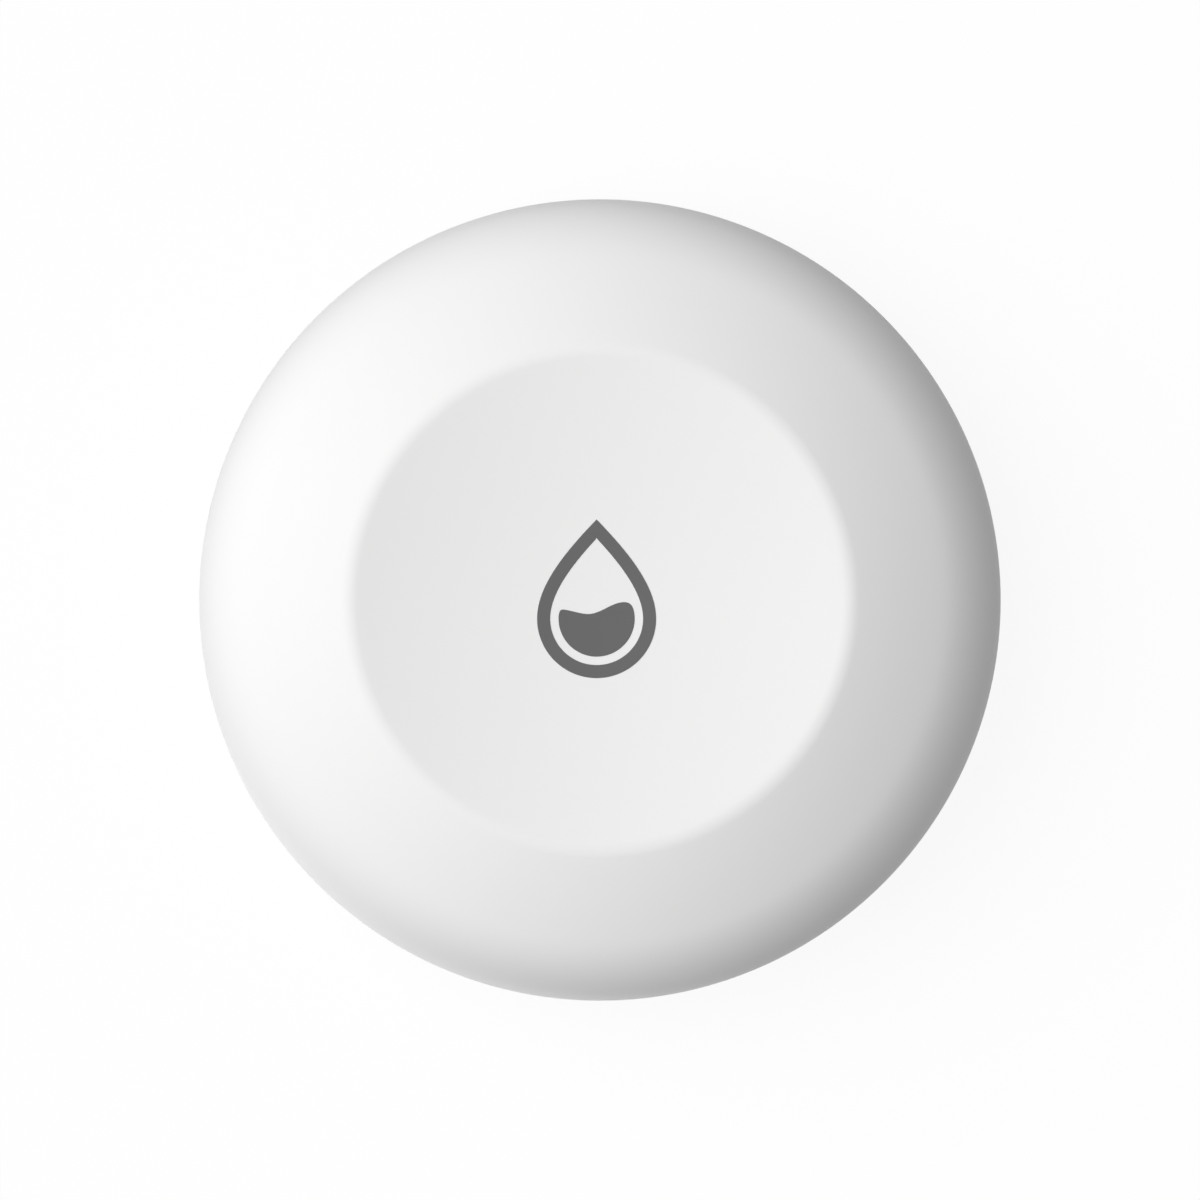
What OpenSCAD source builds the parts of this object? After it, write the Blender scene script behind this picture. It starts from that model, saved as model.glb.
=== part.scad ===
// Round water leak sensor: a pebble-shaped housing of two shells with a dished top.
// The underside carries a twist-lock battery cover, two water probes, a reset button and
// three feet over the case screws; the circuit board is clamped between the shells.
// Millimetres, +Z up, origin on the floor below the centre of the housing.

/* [Housing] */
// Outer diameter of the housing
body_d = 62; // [56:0.5:72]
// Height from the floor to the crest round the dish
body_h = 18; // [16:0.25:24]
// Wall thickness of the top shell
wall = 1.8; // [1.5:0.1:2.1]
// Radius of the rounded upper edge
edge_r = 9; // [8:0.25:9.5]
// Radius of the rounded lower edge
under_r = 6.2; // [5.9:0.1:6.4]
// How far the lower edge turns under before it meets the flat underside, degrees
under_turn = 66; // [62:1:68]
// Diameter of the crest round the dish
crest_d = 37.8; // [35:0.2:41]
// Radius of the rounded crest
crest_r = 2.5; // [2.3:0.1:4.5]
// Slope of the shoulder just outside the crest, degrees
shoulder_slope = 20; // [18:0.5:22]
// Slope of the shoulder where it runs into the rounded edge, degrees
edge_slope = 28; // [26:0.5:31]
// Slope of the dish at its rim, degrees
dish_slope = 9; // [4:0.5:12]
// Shadow line between the two shells
seam_gap = 0.25; // [0.15:0.05:0.4]

/* [Rim seal] */
// Width of the tongue under the top shell
tongue_w = 1.4; // [1.2:0.1:1.6]
// Distance from the outside of the housing to the tongue
tongue_inset = 2.2; // [2:0.1:2.4]
// Depth of the groove in the base shell
groove_depth = 1.4; // [1.3:0.1:1.6]
// Height of the pressed gasket in the groove
gasket_h = 1; // [0.7:0.1:1.1]
// Thickness of plastic inside the groove
groove_wall = 1; // [0.8:0.1:1.1]
// Height of the solid rim inside the top shell
rim_h = 1.6; // [1.2:0.1:2]

/* [Underside] */
// Thickness of the flat floor of the base shell
floor_t = 2; // [1.9:0.1:2.2]
// Diameter of a rubber foot
foot_d = 7.4; // [6.4:0.1:7.6]
// How far the feet stand out below the underside
foot_proud = 0.8; // [0.6:0.05:1]
// How far the feet are let into the underside
foot_sunk = 0.9; // [0.7:0.05:1]
// Bevel round the lower edge of a foot
foot_bevel = 0.3; // [0.1:0.05:0.5]
// Angle of the first foot about the centre, degrees
foot_turn = 30; // [26:1:34]
// Thickness of the stiffening ribs
rib_t = 1; // [0.8:0.1:1.4]
// Height of the stiffening ribs over the floor
rib_h = 2.4; // [1.4:0.1:2.8]

/* [Screws] */
// Diameter of the case screws
screw_d = 2; // [1.8:0.1:2.2]
// Length of the case screws under the head
screw_len = 10; // [8:0.25:11]
// Diameter of the screw heads
screw_head_d = 3.8; // [3.4:0.1:4]
// Height of the screw heads
screw_head_h = 1.4; // [1.2:0.1:1.6]
// Width of the arms of the cross recess
recess_w = 0.6; // [0.4:0.05:0.7]
// Length of the arms of the cross recess, tip to tip
recess_len = 2.2; // [1.6:0.1:2.6]
// Depth of the cross recess
recess_depth = 0.8; // [0.5:0.05:1]
// Wall round a screw hole
boss_wall = 1.6; // [1.4:0.1:1.9]
// Wall round a sunk screw head
sink_wall = 1; // [0.8:0.1:1.2]

/* [Battery] */
// Diameter of the coin cell
cell_d = 20; // [16:0.5:23]
// Height of the coin cell
cell_h = 3.2; // [3:0.1:3.6]
// Rounding of the cell's lower edge
cell_bevel = 0.4; // [0.2:0.1:0.6]
// Width of the crimped edge round the cell's cap
crimp_w = 1.2; // [1:0.1:1.6]
// Step from the crimped edge up to the cell's cap
cap_step = 0.4; // [0.3:0.05:0.5]
// Thickness of the holder ring round the cell
holder_t = 0.85; // [0.7:0.05:1]
// Height of the closed lower edge of the holder ring
hoop_h = 0.6; // [0.4:0.1:0.8]
// Thickness of the battery cover
cover_t = 2; // [1.8:0.1:2.2]
// How far the battery cover sits below the underside
cover_inset = 0.2; // [0.1:0.05:0.4]
// Thickness of the skirt of the battery cover
skirt_t = 1.75; // [1.6:0.05:1.9]
// Height of the skirt over the battery cover
skirt_h = 2.2; // [2:0.1:2.4]
// Step from the skirt out to the edge of the cover
cover_step = 0.65; // [0.5:0.05:0.75]
// Number of locking lugs
lug_count = 3; // [2:1:3]
// Angle that one lug takes up, degrees
lug_angle = 22; // [16:1:26]
// How far a lug stands out from the cover
lug_reach = 1; // [0.8:0.1:1.2]
// Height of a lug
lug_h = 1; // [0.8:0.1:1.1]
// Turn from locked to open, degrees
cover_turn = 40; // [36:1:46]
// Length of the coin slot
slot_len = 15; // [12:0.5:18]
// Width of the coin slot
slot_w = 2.2; // [1.8:0.1:2.6]
// Depth of the coin slot
slot_depth = 1.2; // [0.8:0.1:1.2]
// Thickness of the cord of the cover's O-ring
ring_cord = 1.1; // [0.9:0.05:1.2]
// Thickness of the wall round the battery well
well_wall = 1.7; // [1.5:0.1:1.9]
// Height of the battery well over the floor
well_h = 3.7; // [3.4:0.1:4]

/* [Board] */
// Thickness of the circuit board
board_t = 1.2; // [1:0.1:1.6]
// Width of the notch that sets the board's angle
notch_w = 3; // [2:0.5:4]
// Space between the cell and the board for the contacts
contact_gap = 1.4; // [1.2:0.05:1.7]
// Thickness of the contact strip
leaf_t = 0.2; // [0.15:0.05:0.25]
// Width of the contact strips
leaf_w = 4; // [3:0.25:5]
// Length of the negative contact
leaf_len = 12; // [10:0.5:13]
// Length of a soldered contact pad
pad_len = 2.5; // [2:0.25:3]
// Spring-off of the positive contacts from the side of the cell
side_spring = 0.7; // [0.5:0.05:0.75]

/* [Components] */
// Width of the radio module
module_w = 16; // [14:0.5:18]
// Length of the radio module
module_l = 12; // [12:0.5:14]
// Thickness of the radio module's board
module_t = 0.8; // [0.6:0.1:1]
// Width and length of the shield can
shield_w = 9; // [8:0.25:9.5]
// Height of the shield can
shield_h = 2; // [1.8:0.1:2.2]
// Distance from the shield can to the end of the module
shield_inset = 0.5; // [0.3:0.1:1]
// Thickness of the shield can's sheet
shield_t = 0.2; // [0.15:0.05:0.3]
// Side of the radio chip under the shield
radio_chip_w = 5; // [4:0.5:6]
// Height of the radio chip
radio_chip_h = 0.9; // [0.7:0.1:1.1]
// Width of the detector chip's body
chip_w = 3.9; // [3.5:0.1:4.2]
// Length of the detector chip's body
chip_l = 4.9; // [4.6:0.1:5.2]
// Height of the detector chip's body
chip_h = 1.4; // [1.2:0.1:1.6]
// Pitch of the detector chip's legs
leg_pitch = 1.27; // [1.2:0.01:1.3]
// Width of a leg
leg_w = 0.4; // [0.3:0.05:0.5]
// Thickness of a leg
leg_t = 0.2; // [0.15:0.05:0.25]
// Height at which the legs leave the chip's body
leg_rise = 0.5; // [0.4:0.05:0.7]
// Reach of a leg beyond the chip's body
leg_reach = 1; // [0.8:0.1:1.2]
// Length of the bulk capacitor
bulk_l = 7.3; // [6.6:0.1:7.6]
// Width of the bulk capacitor
bulk_w = 4.3; // [4:0.1:4.6]
// Height of the bulk capacitor
bulk_h = 2.8; // [2.4:0.1:3]
// How far the bulk capacitor's terminals stand out of its ends
terminal_t = 0.4; // [0.2:0.05:0.5]
// Length of a chip capacitor or resistor
smd_l = 1.6; // [1.4:0.1:2]
// Width of a chip capacitor or resistor
smd_w = 0.8; // [0.6:0.1:1.2]
// Height of a chip capacitor
capacitor_h = 0.8; // [0.6:0.1:1]
// Height of a chip resistor
resistor_h = 0.45; // [0.35:0.05:0.6]
// Length of the status light
light_l = 3.2; // [2.8:0.1:3.5]
// Width of the status light
light_w = 1.6; // [1.4:0.1:2]
// Height of the status light's base
light_h = 0.7; // [0.5:0.1:0.9]
// Diameter of the status light's dome
light_dome_d = 1.4; // [1:0.1:1.4]

/* [Probes] */
// Diameter of a probe head
probe_head_d = 5; // [4.6:0.1:5.4]
// Height of a probe head
probe_head_h = 1; // [0.9:0.05:1.1]
// Height of the domed end of a probe head
probe_dome_h = 0.5; // [0.3:0.05:0.6]
// Diameter of a probe pin
probe_d = 2.5; // [2.2:0.1:2.6]
// Angle between the two probes about the centre, degrees
probe_spread = 40; // [36:1:44]
// How far a probe head is let into the underside
probe_sunk = 0.5; // [0.45:0.05:0.6]
// Thickness of the cord of a probe seal
seal_cord = 0.85; // [0.7:0.05:0.9]
// Wall of the collar round a probe pin
collar_wall = 1.7; // [1.5:0.1:2]
// Height of the collar round a probe pin
collar_h = 1.6; // [1.2:0.1:1.8]
// Diameter of a probe standoff
standoff_d = 4.4; // [4:0.1:5]
// Height of a probe standoff
standoff_h = 2.6; // [2:0.1:3]
// Solid end of a standoff against the board
standoff_end = 0.4; // [0.3:0.1:0.8]

/* [Button and switch] */
// Angle of the reset button about the centre, degrees
button_turn = 330; // [328:1:332]
// Diameter of the reset button
button_d = 6; // [5:0.2:6.2]
// How far the button's face is set back from the underside
button_inset = 0.4; // [0.2:0.05:0.5]
// Depth of the finger dish in the button's face
finger_depth = 0.5; // [0.2:0.05:0.6]
// Width of the rim round the finger dish
finger_rim = 0.55; // [0.3:0.05:0.9]
// Width of the flange that keeps the button in
button_flange = 0.9; // [0.7:0.05:0.95]
// Thickness of the flange
flange_t = 0.6; // [0.5:0.05:0.8]
// Diameter of the button's stem
stem_d = 3; // [2.4:0.1:3.2]
// Travel of the button and of the switch plunger
button_travel = 0.35; // [0.2:0.05:0.4]
// Wall of the collar round the button's flange
guide_wall = 0.9; // [0.7:0.1:1]
// Side of the square push switch
switch_w = 6; // [5.8:0.1:6.2]
// Height of the push switch over the board
switch_h = 2.5; // [2.2:0.1:2.8]
// Thickness of the switch's cover plate
plate_t = 0.3; // [0.2:0.05:0.4]
// Height of the tabs folded down the switch's sides
tab_h = 1.4; // [1:0.1:1.6]
// Diameter of the switch plunger
plunger_d = 3.2; // [2.8:0.1:3.4]
// How far the plunger stands out of the switch
plunger_out = 0.7; // [0.5:0.05:1]
// Width of the collar that keeps the plunger in
plunger_collar = 0.6; // [0.4:0.05:0.7]
// Thickness of the plunger's collar
plunger_collar_t = 0.5; // [0.4:0.05:0.6]

/* [Clearances] */
// Gap round pieces that are fitted together
fit_gap = 0.1; // [0.06:0.01:0.12]
// Gap round pieces that move
slide_gap = 0.15; // [0.1:0.01:0.2]
// Play of a lug at each end of its track, degrees
lug_play = 1; // [0.5:0.1:2]
// Gap between the coin cell and its holder
cell_gap = 0.15; // [0.1:0.01:0.3]
// Gap between the cell's holder and the skirt that turns round it
skirt_gap = 0.3; // [0.2:0.05:0.4]
// Gap between the edge of the circuit board and the top shell
board_gap = 0.9; // [0.5:0.1:1.2]
// Gap that lets a spring contact just touch
touch_gap = 0.03; // [0.02:0.01:0.05]

/* [Hidden] */
$fn = 96;

body_r = body_d / 2;
over = 1;
base_z = foot_proud;
floor_z = base_z + floor_t;

// Centres of the outer arcs: the upper ones hang from the crest, the lower one from the floor
under_x = body_r - under_r;
under_z = base_z + under_r * sin(under_turn);
edge_x = body_r - edge_r;
crest_x = crest_d / 2;
crest_z = body_h - crest_r;
shoulder_r = (edge_x + edge_r * sin(edge_slope) - crest_r * sin(shoulder_slope) - crest_x)
    / (sin(edge_slope) - sin(shoulder_slope));
shoulder_x = edge_x + (edge_r - shoulder_r) * sin(edge_slope);
shoulder_z = crest_z - (shoulder_r - crest_r) * cos(shoulder_slope);
edge_z = shoulder_z - (edge_r - shoulder_r) * cos(edge_slope);
dish_r = crest_x / sin(dish_slope) - crest_r;
dish_z = crest_z + (crest_r + dish_r) * cos(dish_slope);

// Rim seal
seam_z = under_z;
base_rim_z = seam_z - seam_gap;
tongue_out = body_r - tongue_inset;
tongue_in = tongue_out - tongue_w;
groove_z = base_rim_z - groove_depth;
gasket_z = groove_z + gasket_h;
rim_in = tongue_in - fit_gap - groove_wall;

// Battery cover, O-ring and the well they turn in
cell_r = cell_d / 2;
holder_in = cell_r + cell_gap;
holder_out = holder_in + holder_t;
skirt_in = holder_out + skirt_gap;
skirt_out = skirt_in + skirt_t;
bore_r = skirt_out + 2 * slide_gap;
cover_r = skirt_out + cover_step;
lip_r = cover_r + slide_gap;
lug_r = cover_r + lug_reach;
track_r = lug_r + slide_gap;
well_r = track_r + well_wall;
well_z = floor_z + well_h;
cover_z = base_z + cover_inset;
cover_top = cover_z + cover_t;
lug_z = cover_top - lug_h;
track_z = lug_z - fit_gap;
track_top = cover_top + slide_gap;
skirt_z = cover_top + skirt_h;
ring_z = (track_top + skirt_z) / 2;
ring_r = bore_r - (ring_cord + fit_gap) / 2;
ring_room = ring_cord + fit_gap;
lug_angles = [for (i = [0 : lug_count - 1]) 360 / lug_count * i];

// Circle that screws, feet, probes and button sit on, midway between the well and the rim
feature_r = (well_r + rim_in) / 2;

// Stack of cell, contacts and board
cell_z = cover_top + fit_gap;
cell_top = cell_z + cell_h;
crimp_z = cell_top - cap_step;
holder_z = cell_z + cell_bevel;
hoop_z = holder_z + hoop_h;
leg_z = hoop_z + 2 * fit_gap;
board_z = cell_top + contact_gap;
board_top = board_z + board_t;
board_r = tongue_in - board_gap;

// Screws
head_z = base_z + foot_sunk + fit_gap;
bearing_z = head_z + screw_head_h;
screw_top = bearing_z + screw_len;
hole_r = screw_d / 2 + slide_gap;
post_r = screw_d / 2 + boss_wall;
sink_r = screw_head_d / 2 + slide_gap;
foot_angles = [for (i = [0 : 2]) foot_turn + 120 * i];

// Probes
probe_r = probe_d / 2;
probe_head_r = probe_head_d / 2;
probe_seat = base_z + probe_sunk;
probe_z = probe_seat - probe_head_h;
probe_dome_r = (probe_head_r ^ 2 + probe_dome_h ^ 2) / (2 * probe_dome_h);
probe_top = board_z - standoff_end - fit_gap;
seal_r = probe_r + (seal_cord + fit_gap) / 2;
seal_room = seal_cord + fit_gap;
probe_angles = [90 - probe_spread / 2, 90 + probe_spread / 2];

// Button and switch
button_z = base_z + button_inset;
finger_edge = button_d / 2 - finger_rim;
finger_r = (finger_edge ^ 2 + finger_depth ^ 2) / (2 * finger_depth);
flange_z = floor_z + fit_gap;
flange_top = flange_z + flange_t;
flange_r = button_d / 2 + button_flange;
guide_r = flange_r + slide_gap;
guide_z = flange_top + button_travel + slide_gap;
switch_z = board_z - switch_h;
plate_top = switch_z + plate_t;
plunger_z = switch_z - plunger_out;
plunger_r = plunger_d / 2;
collar_z = plate_top + fit_gap;
collar_top = collar_z + plunger_collar_t;
chamber_z = collar_top + button_travel + fit_gap;
chamber_r = plunger_r + plunger_collar + slide_gap;

// Where the ribs of the base and the small components stand
rib_angles = [0, 90, 180, 210, 240, 300];
notch_turn = 210;
module_y = 8;
shield_y = module_y - (module_l - shield_w) / 2 + shield_inset;
chip_at = [-11, -7];
bulk_at = [11, -7];
light_at = [0, -13];
capacitor_at = [[-12, 4], [-12, 7], [12, 4], [12, 7], [-4, -4], [4, -4]];
resistor_at = [[-4, -7], [-1.5, -7], [1.5, -7], [4, -7], [-6, -13], [6, -13]];

// Points of an arc about (x, z) from one angle to another
function arc(x, z, r, a0, a1, n) =
    [for (i = [0 : n]) let (a = a0 + (a1 - a0) * i / n) [x + r * cos(a), z + r * sin(a)]];

// Outline of the dome from the axis to the widest point, set in by a distance
function dome(inset) = concat(
    arc(0, dish_z, dish_r + inset, 270, 270 + dish_slope, 10),
    arc(crest_x, crest_z, crest_r - inset, 90 + dish_slope, 90 - shoulder_slope, 10),
    arc(shoulder_x, shoulder_z, shoulder_r - inset, 90 - shoulder_slope, 90 - edge_slope, 6),
    arc(edge_x, edge_z, edge_r - inset, 90 - edge_slope, 0, 20));

// Angle at which the lower arc crosses a height
function under_at(z) = asin((z - under_z) / under_r);

// Outline of the lower arc from one height to another
function bowl(z0, z1) = arc(under_x, under_z, under_r, under_at(z0), under_at(z1), 14);

// A strip of one thickness along a row of points
function strip(points, shift) =
    concat(points, [for (i = [len(points) - 1 : -1 : 0]) points[i] + shift]);

// A copy of the children at each angle of a circle
module at_angles(angles, radius = feature_r) {
    for (a = angles) {
        rotate([0, 0, a]) translate([radius, 0, 0]) children();
    }
}

// A cylinder between two heights
module post(r, z0, z1) {
    translate([0, 0, z0]) cylinder(r = r, h = z1 - z0);
}

// A ring between two radii and two heights
module ring(inner, outer, z0, z1) {
    rotate_extrude() translate([inner, z0]) square([outer - inner, z1 - z0]);
}

// A sector of a ring, centred on the +X axis
module sector(inner, outer, z0, z1, angle) {
    rotate([0, 0, -angle / 2]) rotate_extrude(angle = angle)
        translate([inner, z0]) square([outer - inner, z1 - z0]);
}

// A round cord laid in a circle
module cord(radius, thickness, z) {
    rotate_extrude() translate([radius, z]) circle(d = thickness, $fn = 32);
}

// A block centred on the axis between two heights
module block(x, y, z0, z1) {
    translate([-x / 2, -y / 2, z0]) cube([x, y, z1 - z0]);
}

// The solid under the dome surface, set in by a distance, down to a height
module dome_solid(inset, z0) {
    rotate_extrude() polygon(concat([[0, z0]], dome(inset), [[body_r - inset, z0]]));
}

// Screw boss and its gusset inside the dome
module dome_boss() {
    post(post_r, board_top, body_h);
    translate([0, -rib_t / 2, board_top + board_t]) cube([body_r - feature_r, rib_t, body_h - board_top]);
}

module top_shell() {
    color("white") difference() {
        union() {
            difference() {
                dome_solid(0, seam_z);
                dome_solid(wall, seam_z - over);
            }
            ring(tongue_in, body_r - wall / 2, seam_z, seam_z + rim_h);
            ring(tongue_in, tongue_out, gasket_z, seam_z + rim_h / 2);
            intersection() {
                dome_solid(wall / 2, seam_z);
                at_angles(foot_angles) dome_boss();
            }
        }
        at_angles(foot_angles) post(screw_d / 2 + touch_gap, board_top - over, screw_top + 2 * fit_gap);
    }
}

// Bowl of the base shell, with a flat floor and a thick rim for the sealing groove
module base_bowl() {
    rotate_extrude() polygon(concat(
        [[0, base_z], [0, floor_z], [rim_in, floor_z], [rim_in, base_rim_z]],
        bowl(base_rim_z, base_z)));
}

// Everything that stands up from the floor of the base shell
module base_features() {
    post(well_r, base_z, well_z);
    at_angles(foot_angles) {
        post(sink_r + sink_wall, base_z, bearing_z + sink_wall);
        post(post_r, base_z, board_z);
    }
    at_angles(probe_angles) post(probe_r + collar_wall, base_z, floor_z + collar_h);
    at_angles([button_turn]) post(guide_r + guide_wall, base_z, guide_z);
    at_angles(rib_angles, 0) translate([well_r - rib_t / 2, -rib_t / 2, base_z])
        cube([rim_in - well_r + rib_t, rib_t, floor_t + rib_h]);
}

// The well, its locking tracks and the notches that let the lugs in
module well_cut() {
    post(bore_r, track_top - fit_gap, well_z + over);
    post(lip_r, base_z - over, track_top);
    at_angles(lug_angles, 0) {
        rotate([0, 0, -cover_turn / 2])
            sector(skirt_out, track_r, track_z, track_top, cover_turn + lug_angle + 2 * lug_play);
        rotate([0, 0, -cover_turn])
            sector(skirt_out, track_r, base_z - over, track_top, lug_angle + 2 * lug_play);
    }
}

module base_shell() {
    color("whitesmoke") difference() {
        union() {
            base_bowl();
            base_features();
        }
        ring(tongue_in - fit_gap, tongue_out + fit_gap, groove_z, base_rim_z + over);
        well_cut();
        at_angles(foot_angles) {
            post(foot_d / 2 + fit_gap, base_z - over, base_z + foot_sunk);
            post(sink_r, base_z, bearing_z);
            post(hole_r, base_z, board_z + over);
        }
        at_angles(probe_angles) {
            post(probe_head_r + fit_gap, base_z - over, probe_seat);
            post(seal_r + seal_room / 2, base_z, probe_seat + seal_room);
            post(probe_r + fit_gap, base_z, floor_z + collar_h + over);
        }
        at_angles([button_turn]) {
            post(button_d / 2 + slide_gap, base_z - over, floor_z + over);
            post(guide_r, floor_z, guide_z);
        }
    }
}

module rim_gasket() {
    color("silver") ring(tongue_in - fit_gap / 2, tongue_out + fit_gap / 2, groove_z, gasket_z);
}

module case_screws() {
    color("gray") at_angles(foot_angles) difference() {
        union() {
            post(screw_head_d / 2, head_z, bearing_z);
            post(screw_d / 2, head_z, screw_top);
        }
        block(recess_len, recess_w, head_z - over, head_z + recess_depth);
        block(recess_w, recess_len, head_z - over, head_z + recess_depth);
    }
}

module rubber_feet() {
    color("dimgray") at_angles(foot_angles) rotate_extrude() polygon([
        [0, 0],
        [foot_d / 2 - foot_bevel, 0],
        [foot_d / 2, foot_bevel],
        [foot_d / 2, base_z + foot_sunk],
        [0, base_z + foot_sunk]]);
}

// Slot for a coin across the battery cover, with round ends
module coin_slot() {
    reach = (slot_len - slot_w) / 2;
    block(2 * reach, slot_w, cover_z - over, cover_z + slot_depth);
    at_angles([0, 180], reach) post(slot_w / 2, cover_z - over, cover_z + slot_depth);
}

module battery_cover() {
    color("gainsboro") difference() {
        union() {
            post(cover_r, cover_z, cover_top);
            at_angles(lug_angles, 0) sector(skirt_out, lug_r, lug_z, cover_top, lug_angle);
            ring(skirt_in, skirt_out, lug_z, skirt_z);
        }
        ring(ring_r - ring_room / 2, skirt_out + over, ring_z - ring_room / 2, ring_z + ring_room / 2);
        coin_slot();
    }
}

module cover_seal() {
    color("black") cord(ring_r, ring_cord, ring_z);
}

module coin_cell() {
    color("lightgray") rotate_extrude() polygon([
        [0, cell_z],
        [cell_r - cell_bevel, cell_z],
        [cell_r, cell_z + cell_bevel],
        [cell_r, crimp_z - crimp_w / 2],
        [cell_r - crimp_w / 2, crimp_z],
        [cell_r - crimp_w, crimp_z],
        [cell_r - crimp_w, cell_top - cell_bevel / 2],
        [cell_r - crimp_w - cell_bevel / 2, cell_top],
        [0, cell_top]]);
}

// Ring under the board that keeps the cell central, open where the side contacts come down
module cell_holder() {
    color("black") difference() {
        ring(holder_in, holder_out, holder_z, board_z);
        block(2 * (holder_out + over), leaf_w + 2 * slide_gap, hoop_z, board_z + over);
    }
}

module negative_contact() {
    color("gold") rotate([90, 0, 0]) linear_extrude(height = leaf_w, center = true) polygon(strip([
        [-leaf_len / 2, board_z - leaf_t],
        [pad_len - leaf_len / 2, board_z - leaf_t],
        [-pad_len / 2, cell_top + touch_gap],
        [pad_len / 2, cell_top + touch_gap],
        [leaf_len / 2, cell_top + contact_gap / 2]],
        [0, leaf_t]));
}

module positive_contacts() {
    leg_r = cell_r + side_spring;
    color("gold") at_angles([0, 180], 0) rotate([90, 0, 0])
        linear_extrude(height = leaf_w, center = true) {
            polygon(strip([
                [leg_r, board_z],
                [leg_r, cell_top],
                [cell_r + touch_gap, (leg_z + crimp_z) / 2],
                [cell_r + side_spring / 2, leg_z]],
                [leaf_t, 0]));
            translate([leg_r, board_z - leaf_t]) square([pad_len, leaf_t]);
        }
}

module circuit_board() {
    color("darkgreen") difference() {
        post(board_r, board_z, board_top);
        at_angles(foot_angles) post(hole_r, board_z - over, board_top + over);
        rotate([0, 0, notch_turn]) translate([board_r, 0, 0])
            block(notch_w, notch_w, board_z - over, board_top + over);
    }
}

module radio_module() {
    color("darkblue") translate([0, module_y, 0])
        block(module_w, module_l, board_top, board_top + module_t);
}

// Space under the shield can
module shield_room(inset) {
    shield_z = board_top + module_t;
    translate([0, shield_y, 0])
        block(shield_w - 2 * inset, shield_w - 2 * inset, shield_z - inset, shield_z + shield_h - inset);
}

module radio_chip() {
    chip_z = board_top + module_t;
    color("black") translate([0, shield_y, 0])
        block(radio_chip_w, radio_chip_w, chip_z, chip_z + radio_chip_h);
}

module radio_shield() {
    color("silver") difference() {
        shield_room(0);
        shield_room(shield_t);
    }
}

module detector_chip() {
    bend_z = board_top + leg_rise;
    color("black") translate([chip_at[0], chip_at[1], 0]) {
        block(chip_w, chip_l, board_top + fit_gap, board_top + chip_h);
        for (i = [-1.5 : 1 : 1.5]) {
            translate([0, i * leg_pitch, 0]) {
                block(chip_w + 3 * leg_t, leg_w, bend_z, bend_z + leg_t);
                for (s = [-1, 1]) {
                    translate([s * (chip_w / 2 + leg_t), 0, 0])
                        block(leg_t, leg_w, board_top, bend_z + leg_t);
                    translate([s * (chip_w + leg_reach + leg_t) / 2, 0, 0])
                        block(leg_reach, leg_w, board_top, board_top + leg_t);
                }
            }
        }
    }
}

module bulk_capacitor() {
    color("goldenrod") translate([bulk_at[0], bulk_at[1], 0]) {
        block(bulk_w, bulk_l, board_top + fit_gap, board_top + bulk_h);
        for (s = [-1, 1]) {
            translate([0, s * bulk_l / 2, 0])
                block(bulk_w / 2, 2 * terminal_t, board_top, board_top + bulk_h / 2);
        }
    }
}

module chip_capacitors() {
    color("tan") for (p = capacitor_at) {
        translate([p[0], p[1], 0]) block(smd_l, smd_w, board_top, board_top + capacitor_h);
    }
}

module chip_resistors() {
    color("black") for (p = resistor_at) {
        translate([p[0], p[1], 0]) block(smd_w, smd_l, board_top, board_top + resistor_h);
    }
}

module status_light() {
    color("ivory") translate([light_at[0], light_at[1], 0]) {
        block(light_l, light_w, board_top, board_top + light_h);
        translate([0, 0, board_top + light_h]) intersection() {
            sphere(d = light_dome_d);
            post(light_dome_d, -light_h / 2, light_dome_d);
        }
    }
}

module switch_body() {
    color("black") at_angles([button_turn]) difference() {
        block(switch_w, switch_w, plate_top, board_z);
        post(chamber_r, plate_top - over, chamber_z);
    }
}

module switch_cover() {
    color("silver") at_angles([button_turn]) difference() {
        union() {
            block(switch_w, switch_w + 2 * plate_t, switch_z, plate_top);
            for (s = [-1, 1]) {
                translate([0, s * (switch_w + plate_t) / 2, 0])
                    block(switch_w / 2, plate_t, switch_z, plate_top + tab_h);
            }
        }
        post(plunger_r + slide_gap, switch_z - over, plate_top + over);
    }
}

module switch_plunger() {
    color("white") at_angles([button_turn]) {
        post(plunger_r, plunger_z, collar_top);
        post(plunger_r + plunger_collar, collar_z, collar_top);
    }
}

module reset_button() {
    color("gray") at_angles([button_turn]) difference() {
        union() {
            post(button_d / 2, button_z, flange_top);
            post(flange_r, flange_z, flange_top);
            post(stem_d / 2, flange_z, plunger_z);
        }
        translate([0, 0, button_z + finger_depth - finger_r]) sphere(finger_r);
    }
}

module probe_pins() {
    dome_turn = asin(probe_head_r / probe_dome_r);
    color("silver") at_angles(probe_angles) rotate_extrude() polygon(concat(
        arc(0, probe_z + probe_dome_r, probe_dome_r, 270, 270 + dome_turn, 6),
        [[probe_head_r, probe_seat],
        [probe_r, probe_seat],
        [probe_r, probe_top - 2 * fit_gap],
        [probe_r - 2 * fit_gap, probe_top],
        [0, probe_top]]));
}

module probe_seals() {
    color("black") at_angles(probe_angles) cord(seal_r, seal_cord, probe_seat + seal_room / 2);
}

module probe_standoffs() {
    color("goldenrod") at_angles(probe_angles) difference() {
        post(standoff_d / 2, board_z - standoff_h, board_z);
        post(probe_r + touch_gap, board_z - standoff_h - over, board_z - standoff_end);
    }
}

top_shell();
base_shell();
rim_gasket();
case_screws();
rubber_feet();
battery_cover();
cover_seal();
coin_cell();
cell_holder();
negative_contact();
positive_contacts();
circuit_board();
radio_module();
radio_chip();
radio_shield();
detector_chip();
bulk_capacitor();
chip_capacitors();
chip_resistors();
status_light();
switch_body();
switch_cover();
switch_plunger();
reset_button();
probe_pins();
probe_seals();
probe_standoffs();
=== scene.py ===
import math

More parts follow.
